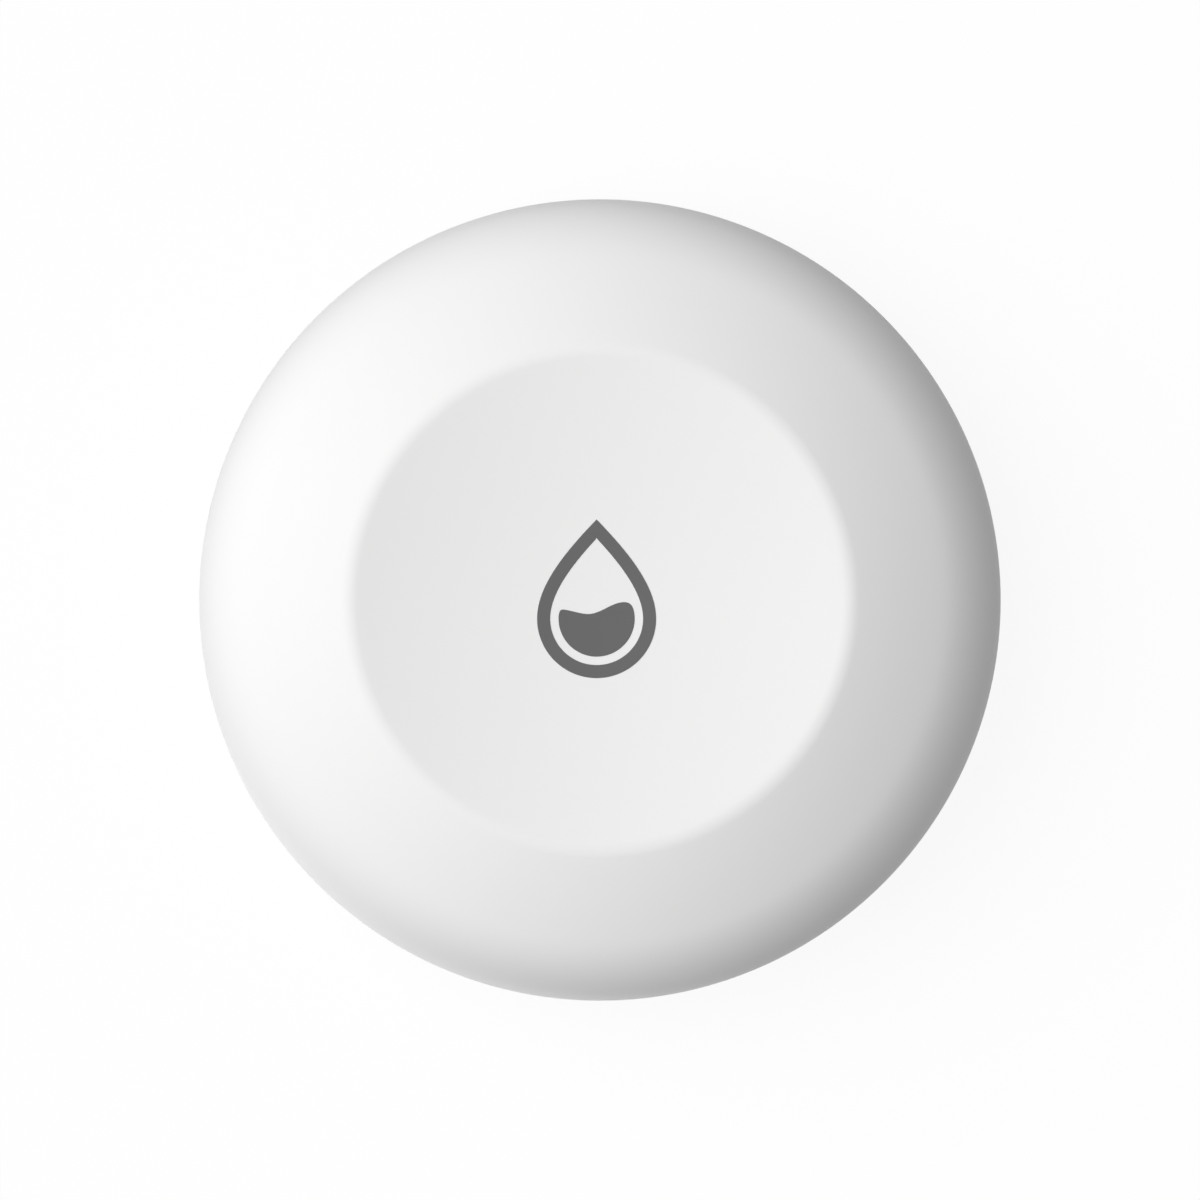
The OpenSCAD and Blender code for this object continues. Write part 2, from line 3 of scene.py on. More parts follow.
import bmesh
import bpy
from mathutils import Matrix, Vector


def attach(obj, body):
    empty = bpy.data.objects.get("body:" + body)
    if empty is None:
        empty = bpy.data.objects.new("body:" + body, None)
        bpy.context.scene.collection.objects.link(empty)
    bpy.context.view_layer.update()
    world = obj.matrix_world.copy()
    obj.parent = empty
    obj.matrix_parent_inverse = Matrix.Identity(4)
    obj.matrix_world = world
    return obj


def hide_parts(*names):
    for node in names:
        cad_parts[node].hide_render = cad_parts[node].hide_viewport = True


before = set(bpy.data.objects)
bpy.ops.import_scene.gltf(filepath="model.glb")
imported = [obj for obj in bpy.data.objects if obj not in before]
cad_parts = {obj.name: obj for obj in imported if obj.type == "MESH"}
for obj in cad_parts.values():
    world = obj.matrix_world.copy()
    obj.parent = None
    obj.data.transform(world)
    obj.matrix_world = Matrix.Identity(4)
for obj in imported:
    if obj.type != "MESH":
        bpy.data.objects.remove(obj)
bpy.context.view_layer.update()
scene = bpy.context.scene
scene.view_settings.view_transform = "Standard"
mm = 0.001


# one output of a shader node, with plain arithmetic on it
class Wire:
    def __init__(self, finish, socket):
        self.finish = finish
        self.socket = socket

    def calc(self, operation, first, second):
        return self.finish.node("Math", {"operation": operation}, {0: first, 1: second})

    def __add__(self, other):
        return self.calc("ADD", self, other)

    def __radd__(self, other):
        return self.calc("ADD", other, self)

    def __sub__(self, other):
        return self.calc("SUBTRACT", self, other)

    def __rsub__(self, other):
        return self.calc("SUBTRACT", other, self)

    def __mul__(self, other):
        return self.calc("MULTIPLY", self, other)

    def __rmul__(self, other):
        return self.calc("MULTIPLY", other, self)

    def __lt__(self, other):
        return self.calc("LESS_THAN", self, other)

    def __gt__(self, other):  # also 1 < wire
        return self.calc("GREATER_THAN", self, other)

    def least(self, other):
        return self.calc("MINIMUM", self, other)

    def most(self, other):
        return self.calc("MAXIMUM", self, other)


# the node tree of one material, or of the world, while it is put together
class Finish:
    def __init__(self, owner):
        owner.use_nodes = True
        self.owner = owner
        self.tree = owner.node_tree
        self.tree.nodes.clear()

    def node(self, kind, settings=None, inputs=None, out=0):
        made = self.tree.nodes.new("ShaderNode" + kind)
        for key, value in (settings or {}).items():
            setattr(made, key, value)
        for key, value in (inputs or {}).items():
            if isinstance(value, Wire):
                self.tree.links.new(value.socket, made.inputs[key])
            else:
                made.inputs[key].default_value = value
        return Wire(self, made.outputs[out]) if made.outputs else None

    # noise whose lumps are about size millimetres across
    def noise(self, size, detail=2.0, roughness=0.5, stretch=None):
        place = self.node("TexCoord", out="Object")
        if stretch:
            place = self.node("VectorMath", {"operation": "MULTIPLY"}, {0: place, 1: stretch})
        return self.node("TexNoise", {}, {"Vector": place, "Scale": 1 / (size * mm),
                                          "Detail": detail, "Roughness": roughness})

    # distance in metres from a vertical axis through (x, y) in millimetres
    def axisDistance(self, x, y):
        place = self.node("TexCoord", out="Object")
        flat = self.node("VectorMath", {"operation": "MULTIPLY"}, {0: place, 1: (1, 1, 0)})
        return self.node("VectorMath", {"operation": "DISTANCE"}, {0: flat, 1: (x * mm, y * mm, 0)},
                         out="Value")

    def blend(self, factor, first, second):
        return self.node("Mix", {"data_type": "RGBA"}, {0: factor, 6: first, 7: second}, out=2)

    # one colour that goes from a darker to a lighter tone
    def shaded(self, factor, colour, dark, light):
        return self.blend(factor, tone(colour, dark), tone(colour, light))

    def bump(self, height, depth):
        return self.node("Bump", {}, {"Height": height, "Distance": depth * mm})

    def surface(self, **sockets):
        named = {key.replace("_", " "): value for key, value in sockets.items()}
        shader = self.node("BsdfPrincipled", {}, named)
        self.node("OutputMaterial", {}, {"Surface": shader})
        return self.owner


def newFinish(name):
    return Finish(bpy.data.materials.new(name))


def tone(colour, factor=1.0):
    return tuple(min(1.0, c * factor) for c in colour) + (1.0,)


# moulded plastic: fine spark-eroded grain and a faint unevenness of tone and gloss
plasticTexture = {"grainDetail": 3.0, "grainRough": 0.6, "cloudGloss": 0.08, "grainGloss": 0.1}


def mouldedPlastic(name, look):
    t = plasticTexture
    made = newFinish(name)
    grain = made.noise(look["grain"], t["grainDetail"], t["grainRough"])
    cloud = made.noise(look["cloud"])
    colour = made.shaded(cloud, look["colour"], 1 - look["drift"], 1 + look["drift"])
    gloss = look["roughness"] + (cloud - 0.5) * t["cloudGloss"] + (grain - 0.5) * t["grainGloss"]
    return made.surface(Base_Color=colour, Roughness=gloss, Normal=made.bump(grain, look["depth"]),
                        Specular_IOR_Level=look["specular"])


# rubber and silicone: matt, with a soft bloom in patches
rubberTexture = {"grainDetail": 4.0, "grainRough": 0.65, "bloomDetail": 3.0, "dark": 0.9, "light": 1.12,
                 "bloomGloss": 0.12}


def softRubber(name, look):
    t = rubberTexture
    made = newFinish(name)
    grain = made.noise(look["grain"], t["grainDetail"], t["grainRough"])
    bloom = made.noise(look["cloud"], t["bloomDetail"])
    colour = made.shaded(bloom, look["colour"], t["dark"], t["light"])
    gloss = look["roughness"] + (bloom - 0.5) * t["bloomGloss"]
    return made.surface(Base_Color=colour, Roughness=gloss, Normal=made.bump(grain, look["depth"]),
                        Specular_IOR_Level=look["specular"])


# sheet and drawn metal: fine lines along one direction
metalTexture = {"lineDetail": 3.0, "lineRough": 0.6, "dullDetail": 3.0, "dark": 0.92, "light": 1.05,
                "lineGloss": 0.18, "dullGloss": 0.1}


def drawnMetal(name, look):
    t = metalTexture
    made = newFinish(name)
    lines = made.noise(look["line"], t["lineDetail"], t["lineRough"], look["stretch"])
    dull = made.noise(look["cloud"], t["dullDetail"])
    colour = made.shaded(dull, look["colour"], t["dark"], t["light"])
    gloss = look["roughness"] + (lines - 0.5) * t["lineGloss"] + (dull - 0.5) * t["dullGloss"]
    return made.surface(Base_Color=colour, Metallic=1.0, Roughness=gloss,
                        Normal=made.bump(lines, look["depth"]))


# circuit board: solder mask over faint copper tracks, with plated rings round the screw holes
maskTexture = {
    "bricks": {"Mortar Size": 0.1, "Mortar Smooth": 0.2, "Brick Width": 3.1, "Row Height": 0.9},
    "offset": 0.5, "dark": 0.9, "light": 1.1, "cloudGloss": 0.1, "trackDepth": 0.02,
}


def solderMask(name, look):
    t = maskTexture
    made = newFinish(name)
    place = made.node("TexCoord", out="Object")
    scale = 1 / (look["pitch"] * mm)
    tracks = made.node("TexBrick", {"offset": t["offset"]}, {"Vector": place, "Scale": scale, **t["bricks"]},
                       out="Fac")
    cloud = made.noise(look["cloud"])
    mask = made.shaded(cloud, look["colour"], t["dark"], t["light"])
    colour = made.blend(tracks, mask, tone(look["track"]))
    gloss = look["roughness"] + (cloud - 0.5) * t["cloudGloss"]
    metal = 0.0
    if "pads" in look:
        gaps = [made.axisDistance(*featureSpot(a)) for a in housing["footAngles"]]
        metal = gaps[0].least(gaps[1]).least(gaps[2]) < look["pads"] * mm
        colour = made.blend(metal, colour, tone(look["plating"]))
    return made.surface(Base_Color=colour, Metallic=metal, Roughness=gloss,
                        Normal=made.bump(tracks, t["trackDepth"]))


def sinDeg(a):
    return math.sin(math.radians(a))


def cosDeg(a):
    return math.cos(math.radians(a))


def around(angle, radius):
    return radius * cosDeg(angle), radius * sinDeg(angle)


# profile points in millimetres, as (radius, height)
def arcPoints(x, z, radius, start, end, steps):
    angles = [math.radians(start + (end - start) * i / steps) for i in range(steps + 1)]
    return [(x + radius * math.cos(a), z + radius * math.sin(a)) for a in angles]


# a line of corners; a third number rounds that corner off with an arc
def rounded(corners, steps=4):
    points = []
    for i, corner in enumerate(corners):
        here = Vector(corner[:2])
        if len(corner) == 2:
            points.append(tuple(here))
            continue
        back = (Vector(corners[i - 1][:2]) - here).normalized()
        ahead = (Vector(corners[(i + 1) % len(corners)][:2]) - here).normalized()
        half = back.angle(ahead) / 2
        centre = here + (back + ahead).normalized() * corner[2] / math.sin(half)
        first = here + back * corner[2] / math.tan(half) - centre
        start = math.degrees(math.atan2(first.y, first.x))
        turn = 180 - 2 * math.degrees(half)
        if back.x * ahead.y - back.y * ahead.x > 0:
            turn = -turn
        points += arcPoints(centre.x, centre.y, corner[2], start, start + turn, steps)
    return points


def addVert(bm, x, y, z):
    return bm.verts.new((x * mm, y * mm, z * mm))


# faces between two loops of as many vertices
def bridge(bm, first, second):
    faces = []
    for k in range(len(first)):
        n = (k + 1) % len(first)
        faces.append(bm.faces.new((first[k], first[n], second[n], second[k])))
    return faces


# turns profile points round a vertical axis and returns the loops of vertices
def lathe(bm, points, count, centre=(0, 0), closed=False):
    loops = []
    for radius, z in points:
        angles = [360 * k / count for k in range(count)] if radius > 0 else [0]
        spots = [around(a, radius) for a in angles]
        loops.append([addVert(bm, centre[0] + x, centre[1] + y, z) for x, y in spots])
    pairs = list(zip(loops, loops[1:]))
    if closed:
        pairs.append((loops[-1], loops[0]))
    for first, second in pairs:
        if len(first) == len(second) == count:
            bridge(bm, first, second)
        elif len(first) + len(second) > 2:
            tip, edge = (first, second) if len(first) == 1 else (second, first)
            for k in range(count):
                bm.faces.new((tip[0], edge[k], edge[(k + 1) % count]))
    return loops


# a wall round the axis whose radius changes in steps, such as lugs or their tracks
def steppedWall(bm, angles, heights, radiusAt):
    count = len(angles)
    made = {}

    def corner(k, radius, z):
        key = (k % count, round(radius, 4), round(z, 4))
        if key not in made:
            made[key] = addVert(bm, *around(angles[k % count], radius), z)
        return made[key]

    middles = [(a + b) / 2 for a, b in zip(angles, angles[1:] + [angles[0] + 360])]
    radii = [[radiusAt(a, j) for j in range(len(heights) - 1)] for a in middles]
    for i in range(count):
        for j, low in enumerate(heights[:-1]):
            here, high = radii[i][j], heights[j + 1]
            bm.faces.new((corner(i, here, low), corner(i + 1, here, low),
                          corner(i + 1, here, high), corner(i, here, high)))
            above = radii[i][min(j + 1, len(heights) - 2)]
            if above != here:
                bm.faces.new((corner(i, here, high), corner(i + 1, here, high),
                              corner(i + 1, above, high), corner(i, above, high)))
            beside = radii[(i + 1) % count][j]
            if beside != here:
                bm.faces.new((corner(i + 1, here, low), corner(i + 1, beside, low),
                              corner(i + 1, beside, high), corner(i + 1, here, high)))
    edges = []
    for j, z in ((0, heights[0]), (len(heights) - 2, heights[-1])):
        loop = []
        for k in range(count):
            for radius in dict.fromkeys((radii[k - 1][j], radii[k][j])):
                loop.append(corner(k, radius, z))
        edges.append(loop)
    return edges


# angles every few degrees, with the edges of all sectors among them
def sectorAngles(sectors, step):
    marks = sorted({round(a % 360, 3) for sector in sectors for a in sector})
    angles = []
    for start, end in zip(marks, marks[1:] + [marks[0] + 360]):
        parts = max(1, round((end - start) / step))
        angles += [start + (end - start) * k / parts for k in range(parts)]
    return angles


def inSector(angle, sectors):
    return any((angle - start) % 360 < (end - start) for start, end in sectors)


# pushes a loop outwards, with mitred corners
def grown(points, distance, leastMitre=0.4):
    moved = []
    for i, here in enumerate(points):
        back = (here - points[i - 1]).normalized()
        ahead = (points[(i + 1) % len(points)] - here).normalized()
        normal = Vector((back.y + ahead.y, -back.x - ahead.x)).normalized()
        moved.append(here + normal * distance / max(leastMitre, normal.dot(Vector((back.y, -back.x)))))
    return moved


# rounds the lip between a wall that ends in loop and the flat face at height z
def roundLip(bm, loop, z, lip, steps=3):
    flat = [Vector((v.co.x / mm, v.co.y / mm)) for v in loop]
    side = 1 if loop[0].co.z / mm > z else -1
    last = loop
    for k in range(1, steps + 1):
        t = math.radians(90 * k / steps)
        row = [addVert(bm, p.x, p.y, z + side * lip * (1 - math.sin(t)))
               for p in grown(flat, lip * (1 - math.cos(t)))]
        bridge(bm, last, row)
        last = row
    return last


# a blind recess of any outline in the face at height z; returns its loop in that face
def pocket(bm, outline, z, depth, lip, finish=0):
    wall = [addVert(bm, p.x, p.y, z + lip) for p in outline]
    floor = [addVert(bm, p.x, p.y, z + depth) for p in outline]
    bridge(bm, wall, floor)
    bm.faces.new(floor).material_index = finish
    return roundLip(bm, wall, z, lip)


# closes a flat face between loops, the holes among them
def fillFlat(bm, *loops):
    edges = []
    for loop in loops:
        for first, second in zip(loop, loop[1:] + loop[:1]):
            edges.append(bm.edges.get((first, second)) or bm.edges.new((first, second)))
    bmesh.ops.triangle_fill(bm, use_beauty=True, edges=edges)


# a box, with its edges softened where edge is given, turned about the vertical axis
def addBox(bm, low, high, edge=0.0, finish=0, turn=0.0):
    c, s = cosDeg(turn), sinDeg(turn)
    corners = [addVert(bm, x * c - y * s, x * s + y * c, z)
               for x in (low[0], high[0]) for y in (low[1], high[1]) for z in (low[2], high[2])]
    sides = ((0, 1, 3, 2), (4, 6, 7, 5), (0, 4, 5, 1), (2, 3, 7, 6), (0, 2, 6, 4), (1, 5, 7, 3))
    faces = [bm.faces.new([corners[i] for i in side]) for side in sides]
    for face in faces:
        face.material_index = finish
    if edge:
        edges = list(dict.fromkeys(e for f in faces for e in f.edges))
        bmesh.ops.bevel(bm, geom=edges, offset=edge * mm, segments=2, profile=0.5, affect="EDGES")


# a flat outline of (reach, height) made as thick as twice half, pointing along turn from centre
def addPrism(bm, outline, half, turn, centre=(0, 0), beside=0.0, finish=0):
    c, s = cosDeg(turn), sinDeg(turn)
    ends = [[addVert(bm, centre[0] + r * c - t * s, centre[1] + r * s + t * c, z) for r, z in outline]
            for t in (beside - half, beside + half)]
    for face in bridge(bm, *ends) + [bm.faces.new(end) for end in ends]:
        face.material_index = finish


# joins another closed mesh to a closed mesh, or cuts it away, and drops slivers
def combined(bm, extra, operation="UNION", sliver=0.001):
    holders = []
    for part in (bm, extra):
        bmesh.ops.recalc_face_normals(part, faces=part.faces)
        mesh = bpy.data.meshes.new("part")
        part.to_mesh(mesh)
        part.free()
        holders.append(bpy.data.objects.new("part", mesh))
        scene.collection.objects.link(holders[-1])
    join = holders[0].modifiers.new("join", "BOOLEAN")
    join.operation, join.solver, join.object = operation, "MANIFOLD", holders[1]
    whole = bmesh.new()
    whole.from_object(holders[0], bpy.context.evaluated_depsgraph_get())
    bmesh.ops.dissolve_degenerate(whole, edges=whole.edges, dist=sliver * mm)
    for holder in holders:
        bpy.data.meshes.remove(holder.data)
    return whole


def makePiece(name, bm, finishes, body, nodes=(), sharp=35, flats=True):
    bmesh.ops.recalc_face_normals(bm, faces=bm.faces)
    mesh = bpy.data.meshes.new(name)
    bm.to_mesh(mesh)
    bm.free()
    mesh.shade_smooth()
    mesh.set_sharp_from_angle(angle=math.radians(sharp))
    for finish in finishes:
        mesh.materials.append(finish)
    piece = bpy.data.objects.new(name, mesh)
    scene.collection.objects.link(piece)
    if flats:  # keeps flat faces flat next to rounded lips
        piece.modifiers.new("evenFlats", "WEIGHTED_NORMAL").keep_sharp = True
    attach(piece, body)
    if nodes:
        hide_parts(*nodes)
    print("made", name, len(mesh.polygons), "faces")
    return piece


# the round housing, as in the CAD model
housing = {
    "radius": 31.0, "height": 18.0, "wall": 1.8,
    "edgeRadius": 9.0, "edgeSlope": 28.0,
    "crestAt": 18.9, "crestRadius": 2.5, "shoulderSlope": 20.0,
    "dishSlope": 9.0,
    "arcSteps": {"dish": 12, "crest": 7, "shoulder": 5, "edge": 13},
    "underside": 0.8, "underRadius": 6.2, "underTurn": 66.0,
    "floor": 2.8, "seamGap": 0.25,
    "tongueIn": 27.4, "tongueOut": 28.8, "grooveDepth": 1.4, "gasketHeight": 1.0, "rimHeight": 1.6,
    "rimIn": 26.3, "fitGap": 0.1,
    "featureCircle": 21.425, "footAngles": (30, 150, 270), "probeAngles": (70, 110), "buttonAngle": 330,
    "boardTop": 8.9,
}


# place of a foot, probe or button
def featureSpot(angle):
    return around(angle, housing["featureCircle"])


# centres and radii of the arcs of the outer profile
def profileArcs(h):
    edgeX = h["radius"] - h["edgeRadius"]
    crestZ = h["height"] - h["crestRadius"]
    rise = sinDeg(h["edgeSlope"]) - sinDeg(h["shoulderSlope"])
    shoulderR = (edgeX + h["edgeRadius"] * sinDeg(h["edgeSlope"])
                 - h["crestRadius"] * sinDeg(h["shoulderSlope"]) - h["crestAt"]) / rise
    shoulderX = edgeX + (h["edgeRadius"] - shoulderR) * sinDeg(h["edgeSlope"])
    shoulderZ = crestZ - (shoulderR - h["crestRadius"]) * cosDeg(h["shoulderSlope"])
    edgeZ = shoulderZ - (h["edgeRadius"] - shoulderR) * cosDeg(h["edgeSlope"])
    dishR = h["crestAt"] / sinDeg(h["dishSlope"]) - h["crestRadius"]
    dishZ = crestZ + (h["crestRadius"] + dishR) * cosDeg(h["dishSlope"])
    return {"edge": (edgeX, edgeZ, h["edgeRadius"]), "crest": (h["crestAt"], crestZ, h["crestRadius"]),
            "shoulder": (shoulderX, shoulderZ, shoulderR), "dish": (0.0, dishZ, dishR)}


arcs = profileArcs(housing)
seamZ = housing["underside"] + housing["underRadius"] * sinDeg(housing["underTurn"])
rimZ = seamZ - housing["seamGap"]
grooveZ = rimZ - housing["grooveDepth"]


# dome from the axis out to the widest point, set in by a distance
def domeLine(inset, fine=2):
    h = housing
    turns = {"dish": (270, 270 + h["dishSlope"]), "crest": (90 + h["dishSlope"], 90 - h["shoulderSlope"]),
             "shoulder": (90 - h["shoulderSlope"], 90 - h["edgeSlope"]), "edge": (90 - h["edgeSlope"], 0)}
    line = []
    for part, (start, end) in turns.items():
        x, z, radius = arcs[part]
        radius += inset if part == "dish" else -inset
        line += arcPoints(x, z, radius, start, end, h["arcSteps"][part] * fine)[1:]
    return [(0.0, arcs["dish"][1] - arcs["dish"][2] - inset)] + line


def dishHeight(r):
    return arcs["dish"][1] - math.sqrt(arcs["dish"][2] ** 2 - r * r)


# height of a profile line at a radius
def heightAt(line, radius):
    for (r0, z0), (r1, z1) in zip(line, line[1:]):
        if r0 <= radius <= r1:
            return z0 + (z1 - z0) * (radius - r0) / (r1 - r0)


# top shell: one dished dome with its wall, sealing tongue, screw bosses and gussets
topShell = {
    "look": {"colour": (0.875, 0.875, 0.872), "drift": 0.006, "grain": 0.22, "cloud": 14.0,
             "depth": 0.0012, "roughness": 0.5, "specular": 0.08},
    "segments": 256, "edgeBreak": 0.12, "edgeAbove": 0.6, "tongueEdge": 0.2,
    "bossRadius": 2.6, "bossSegments": 48, "pilotRadius": 1.03, "pilotTop": 13.4,
    "gussetHalf": 0.5, "gussetLow": 10.1,
}
shellFinish = mouldedPlastic("satinShell", topShell["look"])


def makeTopShell(t):
    h = housing
    rimTop = seamZ + h["rimHeight"]
    tongueLow = grooveZ + h["gasketHeight"]
    wallIn = h["radius"] - h["wall"]
    inner = [p for p in domeLine(h["wall"], 1) if p[1] > rimTop]
    line = domeLine(0.0) + rounded([
        (h["radius"], seamZ + t["edgeAbove"]), (h["radius"], seamZ, t["edgeBreak"]),
        (h["tongueOut"], seamZ), (h["tongueOut"], tongueLow, t["tongueEdge"]),
        (h["tongueIn"], tongueLow, t["tongueEdge"]), (h["tongueIn"], rimTop),
        (wallIn, rimTop)]) + inner[::-1]
    bm = bmesh.new()
    lathe(bm, line, t["segments"])
    # bosses and their gussets end inside the shell's wall
    middle = domeLine(h["wall"] / 2)
    centre = h["featureCircle"]
    fin = [(centre, t["gussetLow"]), (centre, heightAt(middle, centre))]
    fin += [p for p in middle if p[0] > centre and p[1] > t["gussetLow"]]
    fin.append((fin[-1][0], t["gussetLow"]))
    boss = [(0, t["pilotTop"]), (t["pilotRadius"], t["pilotTop"]), (t["pilotRadius"], h["boardTop"]),
            (t["bossRadius"], h["boardTop"]), (t["bossRadius"], h["height"]), (0, h["height"])]
    bosses, gussets = bmesh.new(), bmesh.new()
    for angle in h["footAngles"]:
        rings = lathe(bosses, boss, t["bossSegments"], featureSpot(angle))
        for vert in rings[-2] + rings[-1]:
            vert.co.z = heightAt(middle, math.hypot(vert.co.x, vert.co.y) / mm) * mm
        addPrism(gussets, fin, t["gussetHalf"], angle)
    bm = combined(combined(bm, bosses), gussets)
    return makePiece("topShell", bm, [shellFinish], "housing", ["top_shell"], flats=False)


makeTopShell(topShell)


# printed drop sign in the middle of the dish
dropSign = {
    "look": {"colour": (0.119, 0.119, 0.12), "drift": 0.03, "grain": 0.12, "cloud": 2.5,
             "depth": 0.0015, "roughness": 0.55, "specular": 0.3},
    "offset": (-0.26, 0.0), "thickness": 0.02, "sunk": 0.02,
    "tip": 6.16, "belly": -1.42, "bellyRadius": 4.55, "sideCurve": ((2.22, 3.86), (4.55, 1.18)),
    "stroke": 1.0, "innerTip": 4.75, "tipGap": 0.02, "fillRadius": 2.91,
    "wave": ((-2.95, -0.715), (-2.8, -0.715), (-0.63, -1.07), (2.1, -0.16), (2.95, -0.22)),
    "cornerSoft": 0.7,
    "curveSteps": 40, "fillColumns": 72, "fillLayers": 12, "merge": 0.004, "sliver": 0.002,
}
inkFinish = mouldedPlastic("greyInk", dropSign["look"])


def smoothStep(t):
    t = min(1.0, max(0.0, t))
    return t * t * (3 - 2 * t)


def waveHeight(points, x):
    for (x0, y0), (x1, y1) in zip(points, points[1:]):
        if x <= x1:
            return y0 + (y1 - y0) * smoothStep((x - x0) / (x1 - x0))
    return points[-1][1]


def softMin(a, b, width):
    t = max(width - abs(a - b), 0.0) / width
    return min(a, b) - t * t * width / 4


# the right half of the outline from the tip down, as points with their normals
def dropSide(d):
    p0, p3 = Vector((0, d["tip"])), Vector((d["bellyRadius"], d["belly"]))
    p1, p2 = (Vector(p) for p in d["sideCurve"])
    steps = d["curveSteps"]
    side = []
    for i in range(steps + 1):
        t = i / steps
        spot = p0 * (1 - t) ** 3 + p1 * 3 * t * (1 - t) ** 2 + p2 * 3 * t * t * (1 - t) + p3 * t ** 3
        slope = (p1 - p0) * (1 - t) ** 2 + (p2 - p1) * 2 * t * (1 - t) + (p3 - p2) * t * t
        side.append((spot, Vector((slope.y, -slope.x)).normalized()))
    for i in range(1, steps + 1):
        normal = Vector(around(-90 * i / steps, 1))
        side.append((Vector((0, d["belly"])) + normal * d["bellyRadius"], normal))
    return side


def makeDropSign(d):
    bm = bmesh.new()

    def flat(x, y):
        return addVert(bm, x + d["offset"][0], y + d["offset"][1], 0)

    # outline, as a strip of even width
    rows = []
    for spot, normal in dropSide(d):
        inward = normal if normal.dot(Vector((0, d["belly"])) - spot) > 0 else -normal
        inner = spot + inward * d["stroke"]
        if inner.x <= d["tipGap"] and spot.y > 0:
            inner = Vector((0, d["innerTip"]))
        rows.append((spot, spot.lerp(inner, 0.5), inner))
    for side in (1, -1):
        strip = [[flat(side * p.x, p.y) for p in row] for row in rows]
        for first, second in zip(strip, strip[1:]):
            for k in range(2):
                bm.faces.new((first[k], first[k + 1], second[k + 1], second[k]))
    # wavy fill
    columns, layers, radius = d["fillColumns"], d["fillLayers"], d["fillRadius"]
    grid = []
    for i in range(columns + 1):
        x = -radius * math.cos(math.pi * i / columns)
        reach = math.sqrt(max(0.0, radius ** 2 - x * x))
        low = d["belly"] - reach
        high = max(low, softMin(waveHeight(d["wave"], x), d["belly"] + reach, d["cornerSoft"]))
        grid.append([flat(x, low + (high - low) * j / layers) for j in range(layers + 1)])
    for first, second in zip(grid, grid[1:]):
        for j in range(layers):
            bm.faces.new((first[j], second[j], second[j + 1], first[j + 1]))
    bmesh.ops.remove_doubles(bm, verts=bm.verts, dist=d["merge"] * mm)
    bmesh.ops.dissolve_degenerate(bm, edges=bm.edges, dist=d["sliver"] * mm)
    # given its thickness and laid on the dish
    lower = list(bm.verts)
    made = bmesh.ops.extrude_face_region(bm, geom=bm.faces[:], use_keep_orig=True)
    upper = [v for v in made["geom"] if isinstance(v, bmesh.types.BMVert)]
    for verts, lift in ((lower, -d["sunk"]), (upper, d["thickness"])):
        for v in verts:
            v.co.z = (dishHeight(math.hypot(v.co.x, v.co.y) / mm) + lift) * mm
    return makePiece("dropSign", bm, [inkFinish], "housing", sharp=50, flats=False)


makeDropSign(dropSign)


# base shell: bowl, recesses for feet, probes and button, and the well with its locking tracks
baseShell = {
    "look": {"colour": (0.86, 0.86, 0.855), "drift": 0.012, "grain": 0.42, "cloud": 11.0,
             "depth": 0.01, "roughness": 0.58, "specular": 0.18},
    "segments": 192, "flatEdge": 26.6, "underSteps": 22,
    "underEdge": 1.1, "rimEdge": 0.12, "grooveEdge": 0.1,
    "foot": [(3.05, 2.8), (3.05, 4.2), (2.6, 4.2), (2.6, 7.7), (1.15, 7.7), (1.15, 3.2), (2.05, 3.2),
             (2.05, 1.7), (3.8, 1.7), (3.8, 0.8, 0.22), (4.1, 0.8)],
    "probe": [(2.95, 2.8), (2.95, 4.4), (1.35, 4.4), (1.35, 2.25), (2.2, 2.25), (2.2, 1.3), (2.6, 1.3),
              (2.6, 0.8, 0.18), (2.85, 0.8)],
    "button": [(3.5, 2.8), (3.15, 2.8), (3.15, 0.8, 0.35), (3.6, 0.8)],
    "collar": [(4.05, 2.4), (4.95, 2.4), (4.95, 4.0), (4.05, 4.0)],
    "featureSegments": 64,
    "wellOut": 16.55, "wellTop": 6.5, "wellEdge": 0.3, "wellLip": 0.2, "wellSegments": 144,
    "bore": 13.35, "lip": 13.85, "track": 14.85, "trackLow": 1.9, "trackTop": 3.15, "trackStep": 2.5,
    "lugAngles": (0, 120, 240), "lugHalf": 12.0, "turn": 40.0,
    "dot": [(0, 1.1), (0.8, 1.1, 0.1), (0.8, 0.8, 0.1), (0.95, 0.8)], "lockedMark": 50.0,
    "hoop": [(0, 0.8), (0.5, 0.8, 0.08), (0.5, 1.1), (1.0, 1.1), (1.0, 0.8, 0.1), (1.15, 0.8)],
    "openMark": 10.0,
    "markCircle": 16.2, "markReach": 1.0, "markFloor": 1.1, "markSlack": 0.01, "markSegments": 32,
    # the darker tone of the recess floors is painted shade
    "shadedFloorLook": {"colour": (0.62, 0.62, 0.615), "drift": 0.01, "grain": 0.3, "cloud": 3.0,
                 "depth": 0.001, "roughness": 0.3, "specular": 0.3},
    "ribAngles": (0, 90, 180, 210, 240, 300), "ribHalf": 0.5, "ribTop": 5.2, "ribSunk": 0.5,
}
baseFinish = mouldedPlastic("grainedBase", baseShell["look"])
# the recess floors are polished, and their darker tone is painted shade in the recesses
shadedFloorFinish = mouldedPlastic("polishedFloorPaintedShade", baseShell["shadedFloorLook"])  # floors of the marks and the coin slot


